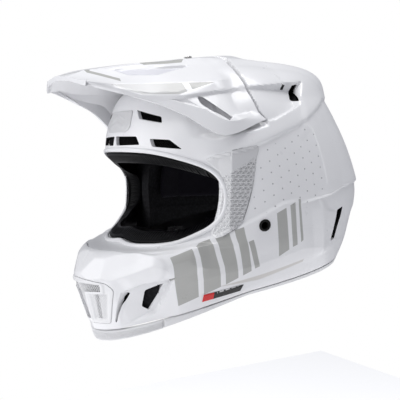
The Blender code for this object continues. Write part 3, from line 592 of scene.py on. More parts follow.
# The openings of the left side, which the right one mirrors: front view, then side view, (forward, up).
CENTRE_VENT = ((1.6, 66), (34, 65.5), (38.5, 57.5), (3.6, 57))
BROW_VENT = ((49, 63), (67, 62), (77, 53.2), (52, 55.5))
UPPER_VENT = ((27, 91), (56, 83.5), (58, 77.5), (33, 82))
MOUTH_SLIT = ((44.5, -80), (48, -80.5), (33, -111), (31.5, -110))
CHIN_VENT = ((115.5, -78), (101.5, -71), (110, -97.5), (116.5, -94))
SCOOP_VENT = ((-32, 116.5), (-40, 118), (-32.5, 99.5), (-26, 101.5))
REAR_VENT = ((-74, -7), (-84.5, -4), (-78, -37), (-70.5, -39))
PORT = (22, -17)
PORT_RADIUS = 4.8
BUSH_RADIUS = 6.3
VISOR_AXIS = Vector((0.0, -0.034, 0.078))
SIDES = ((1, "left"), (-1, "right"))

# ------------------------------------------------------------------ shell
SHELL_ROWS, SHELL_COLUMNS = ((240, 560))
CROWN = len(STATIONS) - 1


def skin(rows, columns, s_low, s_high, sink, seated=True):
    """Rings of the sculpted skin from one station to another, moved in by sink."""
    s, t = crossed(np.linspace(s_low, s_high, rows + 1), np.linspace(-pi, pi, columns, endpoint=False))
    place, normal = form_point(s, t), form_normal(s, t)
    return place + normal * ((sculpt(place, normal, seated) - sink) * MM)[:, None]


def shell_mesh():
    """A closed shell: a fine outer skin, an inner one with half the rings, and the rim between."""
    rows, columns = SHELL_ROWS, SHELL_COLUMNS
    half_rows, half = rows // 2, columns // 2
    outer = skin(rows, columns, RIM_STATION, CROWN - 0.04, 0)
    inner = skin(half_rows, half, RIM_STATION, CROWN - 0.04, SHELL_WALL)
    points = np.concatenate([outer, inner, [[0, 0.02, 0.1521], [0, 0.02, 0.1489]]])
    first = len(outer)
    faces = grid_faces(rows, columns, ring=True)
    faces += grid_faces(half_rows, half, ring=True, first=first, flip=True)
    for i in range(half):
        a, b, c = 2 * i, 2 * i + 1, (2 * i + 2) % columns
        p, q = first + i, first + (i + 1) % half
        faces += [(b, a, p), (b, p, q), (c, b, q)]
    top = rows * columns
    faces += [(top + i, top + (i + 1) % columns, len(points) - 2) for i in range(columns)]
    top = first + half_rows * half
    faces += [(top + (i + 1) % half, top + i, len(points) - 1) for i in range(half)]
    return mesh_object("helmet_shell", points.tolist(), faces)


def skin_tree(seated=True):
    """The skin from the bottom of the rim to the crown, for finding where a line meets it."""
    rows, columns = 150, 320
    points = skin(rows, columns, 0, CROWN - 0.001, 0, seated)
    return BVHTree.FromPolygons(points.tolist(), grid_faces(rows, columns, ring=True))


SHELL = shell_mesh()
TREE = skin_tree()
FLUSH_TREE = skin_tree(seated=False)


def on_skin(start, direction):
    """Where a ray meets the skin, and the normal there that faces the ray's start."""
    place, normal, _, _ = TREE.ray_cast(start, direction)
    return place, -normal if normal.dot(direction) > 0 else normal


def on_front(out, up):
    return on_skin(Vector((out * MM, -0.5, up * MM)), Vector((0, 1, 0)))


def on_side(forward, up, side):
    return on_skin(Vector((0.5 * side, -forward * MM, up * MM)), Vector((-side, 0, 0)))


def cylinder(radius, reach, matrix):
    """A closed cylinder along the X of a matrix, reach to each side; millimetres."""
    bm = bmesh.new()
    bmesh.ops.create_cone(bm, cap_ends=True, segments=40, radius1=radius * MM, radius2=radius * MM,
                          depth=2 * reach * MM, matrix=Matrix.Rotation(pi / 2, 4, "Y"))
    made = from_bmesh("cylinder", bm)
    made.matrix_world = matrix
    return made


def side_frame(centre, side):
    """A matrix on the side of the form with its own X along the outward normal."""
    place, normal = on_side(*centre, side)
    return Matrix.Translation(place) @ normal.to_track_quat("X", "Z").to_matrix().to_4x4()


def cut_shell():
    cutters = [prism(EYEPORT_OUTLINE, 45, 200, from_front), prism(MOUTH_OUTLINE, 105, 200, from_front)]
    for side, _ in SIDES:
        for outline in (CENTRE_VENT, BROW_VENT, UPPER_VENT):
            cutters.append(prism(for_side(soft_corners(outline, 1.5), side), 70, 200, from_front))
        cutters.append(prism(for_side(soft_corners(MOUTH_SLIT, 0.8), side), 105, 200, from_front))
        for outline in (CHIN_VENT, SCOOP_VENT, REAR_VENT):
            cutters.append(side_prism(soft_corners(outline, 1.5), 48, side))
        cutters.append(cylinder(PORT_RADIUS, 20, side_frame(PORT, side)))
        bush = Matrix.Translation(VISOR_AXIS + Vector((0.1 * side, 0, 0)))
        cutters.append(cylinder(BUSH_RADIUS, 20, bush))
    cutters.append(prism(soft_corners(SCREW_HOLE, 2), 120, 170, from_top))
    cut(SHELL, cutters)
    smooth(SHELL, 32)
    stands_for(SHELL, "helmet", "shell_white", "outer_shell")


# ------------------------------------------------------------------ visor
# Rails from the front lip to the rear edge, as in the frame.
VISOR_RAILS = (
    ((0, 180, 121), (0, 158, 128), (0, 110, 137), (0, 75, 142), (0, 45, 147), (0, 20, 152)),
    ((26, 178, 119), (26, 157, 126), (29, 110, 135), (33, 75, 139), (38, 45, 143), (42, 21, 147)),
    ((50, 170, 113), (54, 149, 112), (62, 112, 113), (73, 80, 115), (82, 52, 117), (76, 26, 124)),
    ((49, 165, 110), (58, 143, 107), (70, 116, 104), (86, 92, 101), (108, 58, 79), (108, 22, 88)),
    ((47, 160, 108), (60, 138, 102), (75, 112, 94), (90, 91, 83), (109, 61, 66), (111, 17, 81)),
)
VISOR_WALL = 2.6
VISOR_THINNED = 1.5
VISOR_HOLE = ((77, 101), (72, 101.5), (50, 82.5), (55, 78.5), (76, 94))
# Top view, (out, forward).
PEAK_RECESS = ((33, 138), (45, 126), (52, 98), (47, 58), (38, 99))
PEAK_SPINE = ((24, 170), (30, 140), (33, 100), (34, 60), (36, 36))
SCREW_FORWARD = 33
SCREW_LEVEL = 150.5
SCREW_WELL = ((-1, 23), (7.6, 23), (9.2, 28), (9.2, 39), (7, 44.5), (-1, 44.5))
SCREW_HOLE = ((-5.5, 27.5), (5.5, 27.5), (5.5, 38.5), (-5.5, 38.5))
SCREW_SLOT = ((-2.8, 24), (2.8, 24), (2.8, 41), (-2.8, 41))
# Side view, (forward, up).
WING_RECESS = ((104, 98), (92, 101), (60, 107), (30, 111.5), (10, 114), (10, 80), (22, 90.5), (54, 82))
BAND_EDGE = ((148, 109), (123, 101), (94, 101.5), (54, 115))


def visor_point(along, across):
    """Point of the visor's top: along 0 (lip) to 5 (rear), across 0 (middle) to +-4 (edge)."""
    side = np.where(across < 0, -1.0, 1.0)
    across = np.abs(across)
    rails = np.array([np.stack([through_stations(v, along) for v in zip(*rail)], -1)
                      for rail in VISOR_RAILS])
    first = np.minimum(across.astype(int), len(VISOR_RAILS) - 2)
    part = (across - first)[..., None]
    pick = np.arange(len(across))
    place = rails[first, pick] * (1 - part) + rails[first + 1, pick] * part
    return np.stack([place[..., 0] * side, -place[..., 1], place[..., 2]], -1) * MM


def grid_normals(points, rows, columns):
    """Unit normals of an open grid of points, turned so that the middle one points up."""
    grid = points.reshape(rows + 1, columns + 1, 3)
    normal = np.cross(np.gradient(grid, axis=1), np.gradient(grid, axis=0)).reshape(-1, 3)
    normal = normal / np.maximum(np.linalg.norm(normal, axis=1, keepdims=True), 1e-12)
    return -normal if normal[len(normal) // 2, 2] < 0 else normal


def closed_slab(name, outer, inner, rows, columns):
    """A closed solid between two open grids of points of the same size."""
    count = len(outer)
    wide = columns + 1
    faces = grid_faces(rows, columns) + grid_faces(rows, columns, first=count, flip=True)
    border = [(c, c + 1) for c in range(columns)]
    border += [(rows * wide + c + 1, rows * wide + c) for c in range(columns)]
    border += [((r + 1) * wide, r * wide) for r in range(rows)]
    border += [(r * wide + columns, (r + 1) * wide + columns) for r in range(rows)]
    faces += [(b, a, a + count, b + count) for a, b in border]
    made = mesh_object(name, np.concatenate([outer, inner]).tolist(), faces)
    face_out(made)
    return made


def visor_relief(place):
    """How far the visor's top stands off its plain form, in millimetres."""
    out, forward, up = out_fwd_up(place)
    top = np.stack([out, forward], -1)
    side = np.stack([forward, up], -1)
    lift = recess(top, PEAK_RECESS, 0.8, 2.0, (38, 136), (46, 60), wall=1.6)
    lift += recess(side, WING_RECESS, 1.2, 3.0, (112, 99), (56, 88), wall=2.0) * ramp(out, 56, 66)
    lift += tent(side, BAND_EDGE, 0.9, 5, 3, fade=6) * ramp(out, 50, 60)
    lift += overhang(top, PEAK_SPINE, 0.8, 14, edge=1.0)
    return lift + recess(top, SCREW_WELL, 1.5, 1.5, (0, 22), (0, 46), wall=1.2)


def visor():
    """The peak: a slab that thins out at its rear, where it lies flush with the shell."""
    rows, columns = 150, 192
    along, across = crossed(np.linspace(0, 5, rows + 1), np.linspace(-4, 4, columns + 1))
    place = visor_point(along, across)
    normal = grid_normals(place, rows, columns)
    outer = place + normal * (visor_relief(place) * MM)[:, None]
    flush = ramp(along, 4.15, 4.9) * ramp(place[:, 2] / MM, 78, 92)
    for i in np.nonzero(flush)[0]:
        level = np.array(FLUSH_TREE.find_nearest(outer[i])[0])
        outer[i] += (level - outer[i]) * flush[i]
    wall = VISOR_WALL + 1.6 * (1 - ramp(along, 0, 0.25)) - VISOR_THINNED * flush
    inner = place + (outer - place) * flush[:, None] - normal * (wall * MM)[:, None]
    made = closed_slab("peak", outer, inner, rows, columns)
    cutters = [side_prism(soft_corners(VISOR_HOLE, 2), 70, side) for side, _ in SIDES]
    cut(made, cutters + [prism(soft_corners(SCREW_SLOT, 2.6), 130, 170, from_top)])
    smooth(made, 12)
    stands_for(made, "visor_unit", "visor_white", "visor")


# ------------------------------------------------------------------ builders
def unit_grid(rows, columns):
    """Row and column shares, 0 to 1, of every point of an open grid."""
    return crossed(np.linspace(0, 1, rows + 1), np.linspace(0, 1, columns + 1))


def pillow_edge(v, u, rows_mm, columns_mm, radius):
    """How far the face drops near the edges of a slab, so that they come out round."""
    near = np.minimum(np.minimum(v, 1 - v) * rows_mm, np.minimum(u, 1 - u) * columns_mm)
    share = np.clip(near / radius, 0, 1)
    return radius * (1 - np.sqrt(np.clip(1 - (1 - share) ** 2, 0, 1)))


def ribbon(name, s_range, t_range, rows, columns, lift, thick, size, edge, relief=None):
    """A slab of the outer form between two stations and two ring angles, with rounded edges."""
    v, u = unit_grid(rows, columns)
    s = s_range[0] + (s_range[1] - s_range[0]) * v
    t = t_range[0] + (t_range[1] - t_range[0]) * u
    place, normal = form_point(s, t), form_normal(s, t)
    drop = pillow_edge(v, u, *size, edge)
    rise = relief(v * size[0], u * size[1]) if relief else 0
    outer = place + normal * ((lift - drop + rise) * MM)[:, None]
    inner = place + normal * ((lift - thick + drop * 0.3) * MM)[:, None]
    return closed_slab(name, outer, inner, rows, columns)


def on_view(a, b, view, side):
    return on_front(a, b) if view == "front" else on_side(a, b, side)


def patch(name, outline, view, lift, thick, spacing, relief, side=1):
    """A closed slab that follows the skin inside an outline; relief raises its face."""
    low = np.min(outline, axis=0) - 1.0
    high = np.max(outline, axis=0) + 1.0
    columns, rows = (int(np.ceil(v)) for v in (high - low) / spacing)
    v, u = unit_grid(rows, columns)
    a = low[0] + (high[0] - low[0]) * u
    b = low[1] + (high[1] - low[1]) * v
    place, normal = (np.array(found) for found in zip(*(on_view(x, y, view, side) for x, y in zip(a, b))))
    outer = place + normal * ((lift + relief(a, b)) * MM)[:, None]
    inner = place + normal * ((lift - thick) * MM)
    made = closed_slab(name, outer, inner, rows, columns)
    keep = prism(outline, 40, 220, from_front) if view == "front" else side_prism(outline, 20, side)
    cut(made, [keep], "INTERSECT")
    smooth(made)
    return made


def lattice(name, outline, view, lift, pitch, wire, side=1, turn=0.0):
    """A real open mesh of crossed wires behind an opening, turned by an angle."""
    outline = [Vector(p) for p in outline]
    middle = sum(outline, Vector((0, 0))) / len(outline)
    reach = max((p - middle).length for p in outline) + pitch
    count = int(reach / pitch) + 1
    lead = Vector((cos(turn), sin(turn))) * pitch
    cross = Vector((-sin(turn), cos(turn))) * pitch
    spots = {(i, j): middle + lead * i + cross * j
             for i in range(-count, count + 1) for j in range(-count, count + 1)}
    depth = inside_depth(np.array([tuple(spot) for spot in spots.values()]), [tuple(p) for p in outline])
    kept = {key: n for n, key in enumerate(key for key, d in zip(spots, depth) if d > 0)}
    points = []
    for key in kept:
        place, normal = on_view(*spots[key], view, side)
        points.append(place + normal * lift * MM)
    cells = [[(i, j), (i + 1, j), (i + 1, j + 1), (i, j + 1)] for i, j in kept]
    faces = [[kept[corner] for corner in cell] for cell in cells if all(corner in kept for corner in cell)]
    made = mesh_object(name, points, faces)
    modify(made, "WIREFRAME", thickness=wire * MM, use_even_offset=False)
    made.data.shade_smooth()
    return made


def tube(name, points, radius, sides=12):
    """A round wire swept along a closed run of points."""
    points = np.asarray(points, float)
    lead = np.roll(points, -1, 0) - np.roll(points, 1, 0)
    lead /= np.linalg.norm(lead, axis=1, keepdims=True)
    up = np.array([0.0, 0.0, 1.0]) if abs(lead[0][2]) < 0.9 else np.array([1.0, 0.0, 0.0])
    rings = []
    for here, along in zip(points, lead):
        side = np.cross(along, up)
        side /= np.linalg.norm(side)
        up = np.cross(side, along)
        for angle in (2 * pi * k / sides for k in range(sides)):
            rings.append(here + (side * cos(angle) + up * sin(angle)) * radius)
    made = mesh_object(name, np.array(rings).tolist(), torus_faces(len(points), sides))
    face_out(made)
    made.data.shade_smooth()
    return made


def lathe(name, profile, steps, matrix):
    """A turned solid about Z from (radius, level) pairs in millimetres; a loop makes a ring."""
    loop = profile[0] == profile[-1]
    profile = profile[:-1] if loop else profile
    turns = [2 * pi * k / steps for k in range(steps)]
    points = []
    rows = []
    for radius, level in profile:
        if radius == 0:
            rows.append([len(points)] * steps)
            points.append((0, 0, level * MM))
            continue
        rows.append([len(points) + k for k in range(steps)])
        points += [(radius * MM * cos(turn), radius * MM * sin(turn), level * MM) for turn in turns]
    faces = []
    for low, high in list(zip(rows, rows[1:])) + ([(rows[-1], rows[0])] if loop else []):
        for k in range(steps):
            n = (k + 1) % steps
            faces.append(list(dict.fromkeys((low[k], low[n], high[n], high[k]))))
    made = mesh_object(name, points, faces)
    face_out(made)
    smooth(made)
    made.data.transform(matrix)
    return made


def join(pieces):
    """The pieces as one mesh, in the first one."""
    edit(pieces[0], lambda bm: [bm.from_mesh(piece.data) for piece in pieces[1:]])
    for piece in pieces[1:]:
        remove(piece)


def resample(outline, count):
    """A closed outline as evenly spaced points."""
    points = np.array([tuple(p) for p in closing(outline)])
    run = np.concatenate([[0], np.cumsum(np.hypot(*np.diff(points, axis=0).T))])
    at = np.linspace(0, run[-1], count, endpoint=False)
    return np.stack([np.interp(at, run, points[:, k]) for k in (0, 1)], -1)


# ------------------------------------------------------------------ eyeport
# Section of the eyeport's frame: how far in from the edge, how far back, and how much of the ribs it has.
FRAME_SECTION = ((0.6, 2.6, 0), (1.0, 1.6, 0), (2.0, 1.2, 0), (3.2, 1.7, 0), (3.6, 2.6, 0), (4.1, 3.2, 0.2),
                 (5.5, 4.4, 1), (8.0, 6.9, 1), (10.2, 9.3, 1), (11.2, 10.6, 0.2), (11.7, 11.6, 0),
                 (11.5, 13.2, 0), (10.4, 13.4, 0), (4.0, 6.8, 0), (0.8, 4.6, 0))
RIB_HEIGHT = 0.7
POINTS_PER_RIB = 5


def eyeport_lip():
    """The shell's own rolled edge round the eyeport."""
    path = resample(grown(EYEPORT_OUTLINE, 1.2), 420)
    points = [place - normal * 0.6 * MM for place, normal in (on_front(*p) for p in path)]
    stands_for(tube("eyeport_lip", points, 2.5 * MM, 14), "helmet", "shell_white")


def eyeport_frame():
    """The black moulded frame in the eyeport: a smooth outer roll and a ribbed inner band."""
    columns = 900
    path = resample(EYEPORT_OUTLINE, columns)
    ahead = np.roll(path, -1, 0) - np.roll(path, 1, 0)
    ahead /= np.linalg.norm(ahead, axis=1, keepdims=True)
    inward = np.stack([-ahead[:, 1], ahead[:, 0]], -1)
    if inside_depth(path[:1] + inward[:1], [tuple(p) for p in path])[0] < 0:
        inward = -inward
    depths = np.array([on_front(*p)[0].y / MM for p in path])
    rib = 0.5 + 0.5 * np.cos(np.arange(columns) * 2 * pi / POINTS_PER_RIB)
    points = []
    for i in range(columns):
        for inset, depth, ribbed in FRAME_SECTION:
            out, up = path[i] + inward[i] * inset
            points.append((out * MM, (depths[i] + depth - RIB_HEIGHT * ribbed * rib[i]) * MM, up * MM))
    made = mesh_object("eyeport_frame", points, torus_faces(columns, len(FRAME_SECTION)))
    face_out(made)
    smooth(made, 40)
    stands_for(made, "helmet", "trim_black", "eyeport_trim")


# ------------------------------------------------------------------ vents, plate, panels, labels
GRID_LIFT = -(SHELL_WALL + 1.3)
GRID_PITCH = 1.7
CENTRE_GRID = ((-41, 67.5), (41, 67.5), (41, 55.5), (-41, 55.5))
VENTS = (("brow", BROW_VENT, "front"), ("upper", UPPER_VENT, "front"), ("chin", CHIN_VENT, "side"),
         ("scoop", SCOOP_VENT, "side"), ("rear", REAR_VENT, "side"))


def vent_grids():
    """A mesh of thin wires behind every vent of the shell."""
    piece = lattice("centre_vent_grid", CENTRE_GRID, "front", GRID_LIFT, GRID_PITCH, 0.5, turn=radians(30))
    stands_for(piece, "helmet", "vent_black", "centre_vent_mesh")
    for side, tag in SIDES:
        for label, outline, view in VENTS:
            outline = grown(for_side(outline, side) if view == "front" else outline, 2.0)
            piece = lattice(f"{label}_vent_grid_{tag}", outline, view, GRID_LIFT, GRID_PITCH, 0.5,
                            side, radians(35) * side)
            stands_for(piece, "helmet", "vent_black", f"{label}_vent_mesh_{tag}")


PLATE_OUTLINE = ((-22, 91), (22, 91), (24, 74), (19, 70), (-19, 70), (-24, 74))


def plate_relief(a, b):
    """Rounded border and two plain raised chevrons."""
    edge = inside_depth(np.stack([a, b], -1), PLATE_OUTLINE)
    rise = -0.6 * (1 - ramp(edge, 0, 1.2))
    for level in (79, 86):
        strip = np.abs(b - level + np.abs(a) * 0.35)
        rise += 0.4 * (1 - ramp(strip, 1.2, 1.8)) * (1 - ramp(np.abs(a), 13, 15))
    return rise


def forehead_plate():
    plate = patch("forehead_badge", soft_corners(PLATE_OUTLINE, 3), "front", 1.2, 1.2, 0.8, plate_relief)
    stands_for(plate, "helmet", "plate_grey", "forehead_plate")


PANEL_OUTLINE = ((76, 46), (30, 58), (26, 54), (30, 43), (33, 19), (37, 1), (42, -16), (63, -30), (66, -24),
                 (61, -8), (59, 12), (61, 32))
PANEL_FOLD = ((52, 40), (51, 36), (51, 15), (52, -2), (52, -14), (58, -22))
FOLD_HEIGHT = 1.5
TRIANGLE = 4.4
TRIANGLE_TURNS = (0, pi / 3, 2 * pi / 3)
LANE = TRIANGLE * sin(pi / 3)


def triangle_relief(a, b):
    """Small raised triangles in rows, flat-topped, between narrow grooves."""
    lanes = [(a * sin(turn) + b * cos(turn)) / LANE for turn in TRIANGLE_TURNS]
    return ramp(np.min([np.abs(lane - np.round(lane)) * LANE for lane in lanes], axis=0), 0.15, 0.62)


def panel_relief(a, b):
    """A fold with a steep front and a long back, raised lines of triangles, and rounded edges."""
    points = np.stack([a, b], -1)
    edge = inside_depth(points, PANEL_OUTLINE)
    distance = to_line(points, PANEL_FOLD)[0]
    forward, up = zip(*PANEL_FOLD[::-1])
    ahead = a > np.interp(b, up, forward)
    fold = FOLD_HEIGHT * np.clip(1 - distance / np.where(ahead, 10, 26), 0, 1)
    textured = ramp(edge, 1.5, 2.5) * (1 - ramp(b - (39 + (a - 40) * -0.65), 0, 2))
    return -0.9 * (1 - ramp(edge, 0, 1.3)) + fold - 0.6 * textured * triangle_relief(a, b)


def goggle_panels():
    spacing = 0.45
    for side, tag in SIDES:
        piece = patch("goggle_panel_" + tag, rounded(PANEL_OUTLINE, 1), "side", 0.6, 2.0, spacing,
                      panel_relief, side)
        stands_for(piece, "helmet", "panel_pale", "strap_panel_" + tag)


def release_markers():
    for side, tag in SIDES:
        angles = (radians(61) * side, radians(78) * side)
        piece = ribbon("release_marker_" + tag, (0.98, 1.38), angles, 8, 60, 0.9, 0.6, (8, 34), 0.3)
        smooth(piece)
        stands_for(piece, "helmet", "label_black", "release_label_" + tag)


PORT_PROFILE = ((3.5, 0.5), (3.7, 0.9), (4.2, 1.1), (4.9, 1.0), (5.5, 0.7), (5.8, 0.3), (4.5, 0.25),
                (4.5, -4.2), (3.5, -4.2), (3.5, 0.5))


def port_rings():
    for side, tag in SIDES:
        outward = side_frame(PORT, side) @ Matrix.Rotation(pi / 2, 4, "Y")
        ring = lathe("port_ring_" + tag, PORT_PROFILE, 72, outward)
        stands_for(ring, "helmet", "grommet_black", "hydration_grommet_" + tag)


# ------------------------------------------------------------------ mouthpiece and rim
MOUTH_WINDOW = ((-31, -74), (31, -74), (29, -81), (8, -83), (4.5, -111), (-4.5, -111), (-8, -83),
                (-29, -81))
MOUTH_FACET = ((12, -84), (36, -81), (25, -112), (8, -112))
RIM_SPAN = (0.0, 0.47)
RIM_SPLIT = radians(45)
RIM_GAP = 0.004
KNURL = 2.6


def mouth_relief(a, b):
    """A raised border round the window, and a grooved facet on each side of it."""
    window = inside_depth(np.stack([a, b], -1), MOUTH_WINDOW)
    facet = inside_depth(np.stack([np.abs(a), b], -1), MOUTH_FACET)
    line = np.abs(np.abs(a) - (21 + (b + 84) * 0.22))
    rise = 0.9 * (1 - ramp(-window, 1.2, 3.2)) - 1.9 * ramp(facet, 0, 3)
    return rise - 0.9 * ramp(facet, 1, 3) * (1 - ramp(line, 0.4, 3.5))


def mouthpiece():
    outline = soft_corners(grown(both_halves(MOUTH), -0.4), 2.5)
    piece = patch("mouth_grille", outline, "front", 0.6, 4.0, 0.8, mouth_relief)
    cut(piece, [prism(soft_corners(MOUTH_WINDOW, 1.5), 90, 220, from_front)])
    smooth(piece, 28)
    outline = grown(both_halves(MOUTH), 1.5)
    grid = lattice("mouth_grid", outline, "front", -1.6, GRID_PITCH, 1.15, turn=radians(45))
    stands_for(piece, "helmet", "mouthpiece_white", "mouthpiece")
    stands_for(grid, "helmet", "mouth_mesh_pale", "mouth_mesh")


def knurl(v, u):
    """Slanted blocks, as pressed into rubber."""
    lanes = ((u + v * 0.8) / KNURL, (u - v * 0.8) / KNURL)
    near = np.min([np.abs(lane - np.round(lane)) for lane in lanes], axis=0) * KNURL
    return 0.55 * ramp(near, 0.15, 0.6) * ramp(v, 1.5, 2.5) * (1 - ramp(v, 12, 13))


def rim_trims():
    """Two strips of soft trim under the rim, which meet below the cheeks."""
    split = RIM_SPLIT + RIM_GAP
    front = ribbon("chin_trim", RIM_SPAN, (-RIM_SPLIT, RIM_SPLIT), 34, 420, 0.2, 4.6, (14, 190), 1.5, knurl)
    rear = ribbon("skirt_trim", RIM_SPAN, (split, 2 * pi - split), 12, 560, 0.2, 4.6, (11, 560), 1.8)
    for piece, node in ((front, "rim_trim_front"), (rear, "rim_trim_rear")):
        smooth(piece)
        stands_for(piece, "helmet", "rim_pale", node)


# ------------------------------------------------------------------ visor screw
HEAD_PROFILE = ((0, 0.3), (1.9, 0.3), (2.1, 0.8), (4.2, 0.75), (5.4, 0.5), (6.0, 0.2), (6.0, 0.0), (0, 0.0))
STEM_PROFILE = ((0, 0.0), (2.2, 0.0), (2.2, -16.0), (1.8, -16.4), (0, -16.4))
HEAD_LEVEL = 148.0
HEAD_SLOPE = radians(-11)


def visor_bolt():
    """A low socket head that lies along the visor, on a plain stem."""
    lie = Matrix.Translation(from_top(0, SCREW_FORWARD, HEAD_LEVEL)) @ Matrix.Rotation(HEAD_SLOPE, 4, "X")
    head = lathe("visor_bolt", HEAD_PROFILE, 64, lie)
    stem = lathe("stem", STEM_PROFILE, 32, Matrix.Translation(from_top(0, SCREW_FORWARD, SCREW_LEVEL)))
    join([head, stem])
    smooth(head)
    stands_for(head, "helmet", "steel", "visor_screw")


# ------------------------------------------------------------------ chin strap and rings
# The straps run in the plane y = STRAP_MIDDLE; their corners are (x, z) in millimetres.
STRAP_MIDDLE = 6
STRAP_ANCHOR = (97.6, -47)
STRAP_HALF_WIDTH = 11
STRAP_THICK = 1.4
LEFT_STRAP = ((97.6, -38), (97.6, -56), (92, -68), (83, -79), (70, -86), (60, -86.6))
LEFT_RETURN = ((53.6, -92.4), (58, -90.8), (64, -89.4), (72, -86.7), (80, -82.7))
RIGHT_STRAP = ((-97.6, -38), (-97.6, -56), (-92, -68), (-82, -79), (-66, -87), (-40, -90.5), (-8, -90.5),
               (12, -89))
LOOP = (50, -89)


def smooth_path(corners, count):
    steps = np.linspace(0, len(corners) - 1, count)
    return np.stack([through_stations(v, steps) for v in zip(*corners)], -1)


def webbing(name, path, taper):
    """Woven band: rows across the path, a rounded selvedge and a fine herringbone weave."""
    lead = np.gradient(path, axis=0)
    lead /= np.linalg.norm(lead, axis=1, keepdims=True)
    normal = np.stack([-lead[:, 1], lead[:, 0]], -1)
    rows, columns = len(path) - 1, 28
    u = unit_grid(rows, columns)[1]
    row = np.repeat(np.arange(rows + 1), columns + 1)
    across = (2 * u - 1) * (STRAP_HALF_WIDTH * taper)[row]
    run = np.concatenate([[0], np.cumsum(np.hypot(*np.diff(path, axis=0).T))])[row]
    weave = 0.13 * np.sin(run * 2 * pi / 2.4 + np.abs(across) * 2 * pi / 5.5)
    selvedge = np.clip((np.abs(2 * u - 1) - 0.93) / 0.07, 0, 1)
    half = np.maximum(STRAP_THICK / 2 * np.sqrt(np.clip(1 - selvedge ** 2, 0, 1)), 0.15)
    sides = []
    for sign in (1, -1):
        flat = path[row] + normal[row] * (sign * (half + weave))[:, None]
        sides.append(np.stack([flat[:, 0], STRAP_MIDDLE + across, flat[:, 1]], -1) * MM)
    return closed_slab(name, *sides, rows, columns)


def straps():
    """The left strap loops through the rings and back; the right one ends in a rounded tongue."""
    turn = np.radians(np.linspace(75, 290, 44))
    loop = np.stack([LOOP[0] + 5.6 * np.cos(turn), LOOP[1] + 3.85 * np.sin(turn)], -1)
    left = np.concatenate([smooth_path(LEFT_STRAP, 120), loop, smooth_path(LEFT_RETURN, 30)])
    right = smooth_path(RIGHT_STRAP, 260)
    bands = (webbing("strap_web_left", left, 1 - 0.16 * ramp(np.arange(len(left)), 100, 118)),
             webbing("strap_web_right", right, 1 - 0.9 * ramp(np.arange(len(right)), 246, 262) ** 2))
    for strap, (side, tag) in zip(bands, SIDES):
        anchor = Matrix.Translation(Vector((STRAP_ANCHOR[0] * side, STRAP_MIDDLE, STRAP_ANCHOR[1])) * MM)
        cut(strap, [cylinder(3.4, 10, anchor)])
        smooth(strap, 50)
        stands_for(strap, "strap_half_" + tag, "webbing_black", "chin_strap_" + tag)


def rings():
    """Two D shaped rings of round wire, one on the other."""
    bow = [(-8 - 14 * sin(a), 12.5 * cos(a)) for a in np.linspace(0.06, pi - 0.06, 60)]
    outline = [(0, 11.2), (-1.2, 12.3), (-3.5, 12.5)] + bow + [(-3.5, -12.5), (-1.2, -12.3), (0, -11.2)]
    path = resample(outline, 160)
    for label, lift in (("upper", 1.55), ("lower", -1.55)):
        points = np.array([(LOOP[0] + x, STRAP_MIDDLE + y, LOOP[1] + lift) for x, y in path]) * MM
        ring = tube("ring_wire_" + label, points, 1.2 * MM, 20)
        stands_for(ring, "ring_" + label, "steel", "d_ring_" + label)


# ------------------------------------------------------------------ soft goods
STUFFING_FRAMES = 20


def shrink(made, amount):
    """Moves every vertex in along its normal, so that the stuffed shape ends where it should."""
    normals = [v.normal.copy() for v in made.data.vertices]
    for vert, normal in zip(made.data.vertices, normals):
        vert.co -= normal * amount


def stuff(made, cap):
    """Fills the piece like a cushion with a short cloth run, never moving a point beyond cap."""
    before = np.array([v.co[:] for v in made.data.vertices])
    cloth = made.modifiers.new("cloth", "CLOTH")
    cloth.settings.use_pressure = True
    cloth.settings.uniform_pressure_force = 4.0
    cloth.settings.quality = 5
    cloth.settings.mass = 0.3
    cloth.settings.tension_stiffness = 30
    cloth.settings.compression_stiffness = 30
    cloth.settings.bending_stiffness = 1.5
    cloth.settings.effector_weights.gravity = 0
    cloth.collision_settings.use_collision = False
    scene = bpy.context.scene
    for frame_number in range(1, STUFFING_FRAMES + 1):
        scene.frame_set(frame_number)
    apply_modifiers(made)
    scene.frame_set(1)
    moved = np.array([v.co[:] for v in made.data.vertices]) - before
    length = np.linalg.norm(moved, axis=1, keepdims=True)
    after = before + moved * np.minimum(1, cap / np.maximum(length, 1e-9))
    made.data.vertices.foreach_set("co", after.ravel())


def press(made, depth_of):
    """Presses seams and channels in: depth_of turns points into a depth in millimetres."""
    normals = np.array([v.normal[:] for v in made.data.vertices])
    points = np.array([v.co[:] for v in made.data.vertices])
    points -= normals * (depth_of(points) * MM)[:, None]
    made.data.vertices.foreach_set("co", points.ravel())
    made.data.update()


def quilt(made, cap, channels, body, node):
    """Stuffs a soft piece, refines it, presses its channels in and gives it its place."""
    stuff(made, cap * MM)
    modify(made, "SUBSURF", levels=1, render_levels=1)
    press(made, channels)
    made.data.shade_smooth()
    stands_for(made, body, "liner_black", node)


def groove(distance, width):
    return 1 - ramp(np.abs(distance), 0.2, width)


def to_lane(value, pitch):
    """Distance to the nearest of the lanes that lie one pitch apart."""
    return np.abs((value + pitch / 2) % pitch - pitch / 2)


CAVITY_CENTRE = np.array((0.0, 0.019, 0.012))
CAVITY_RADII = np.array((0.080, 0.100, 0.093))
PAD_LIFT = 5.0
PAD_THICK = 4.0


def longitude_of(points):
    return np.degrees(np.arctan2(points[:, 0], -points[:, 1]))


def cavity_angles(points):
    """Latitude and longitude, in degrees, of points beside the head cavity."""
    place = (points - CAVITY_CENTRE) / CAVITY_RADII
    return np.degrees(np.arctan2(place[:, 2], np.hypot(place[:, 0], place[:, 1]))), longitude_of(place)


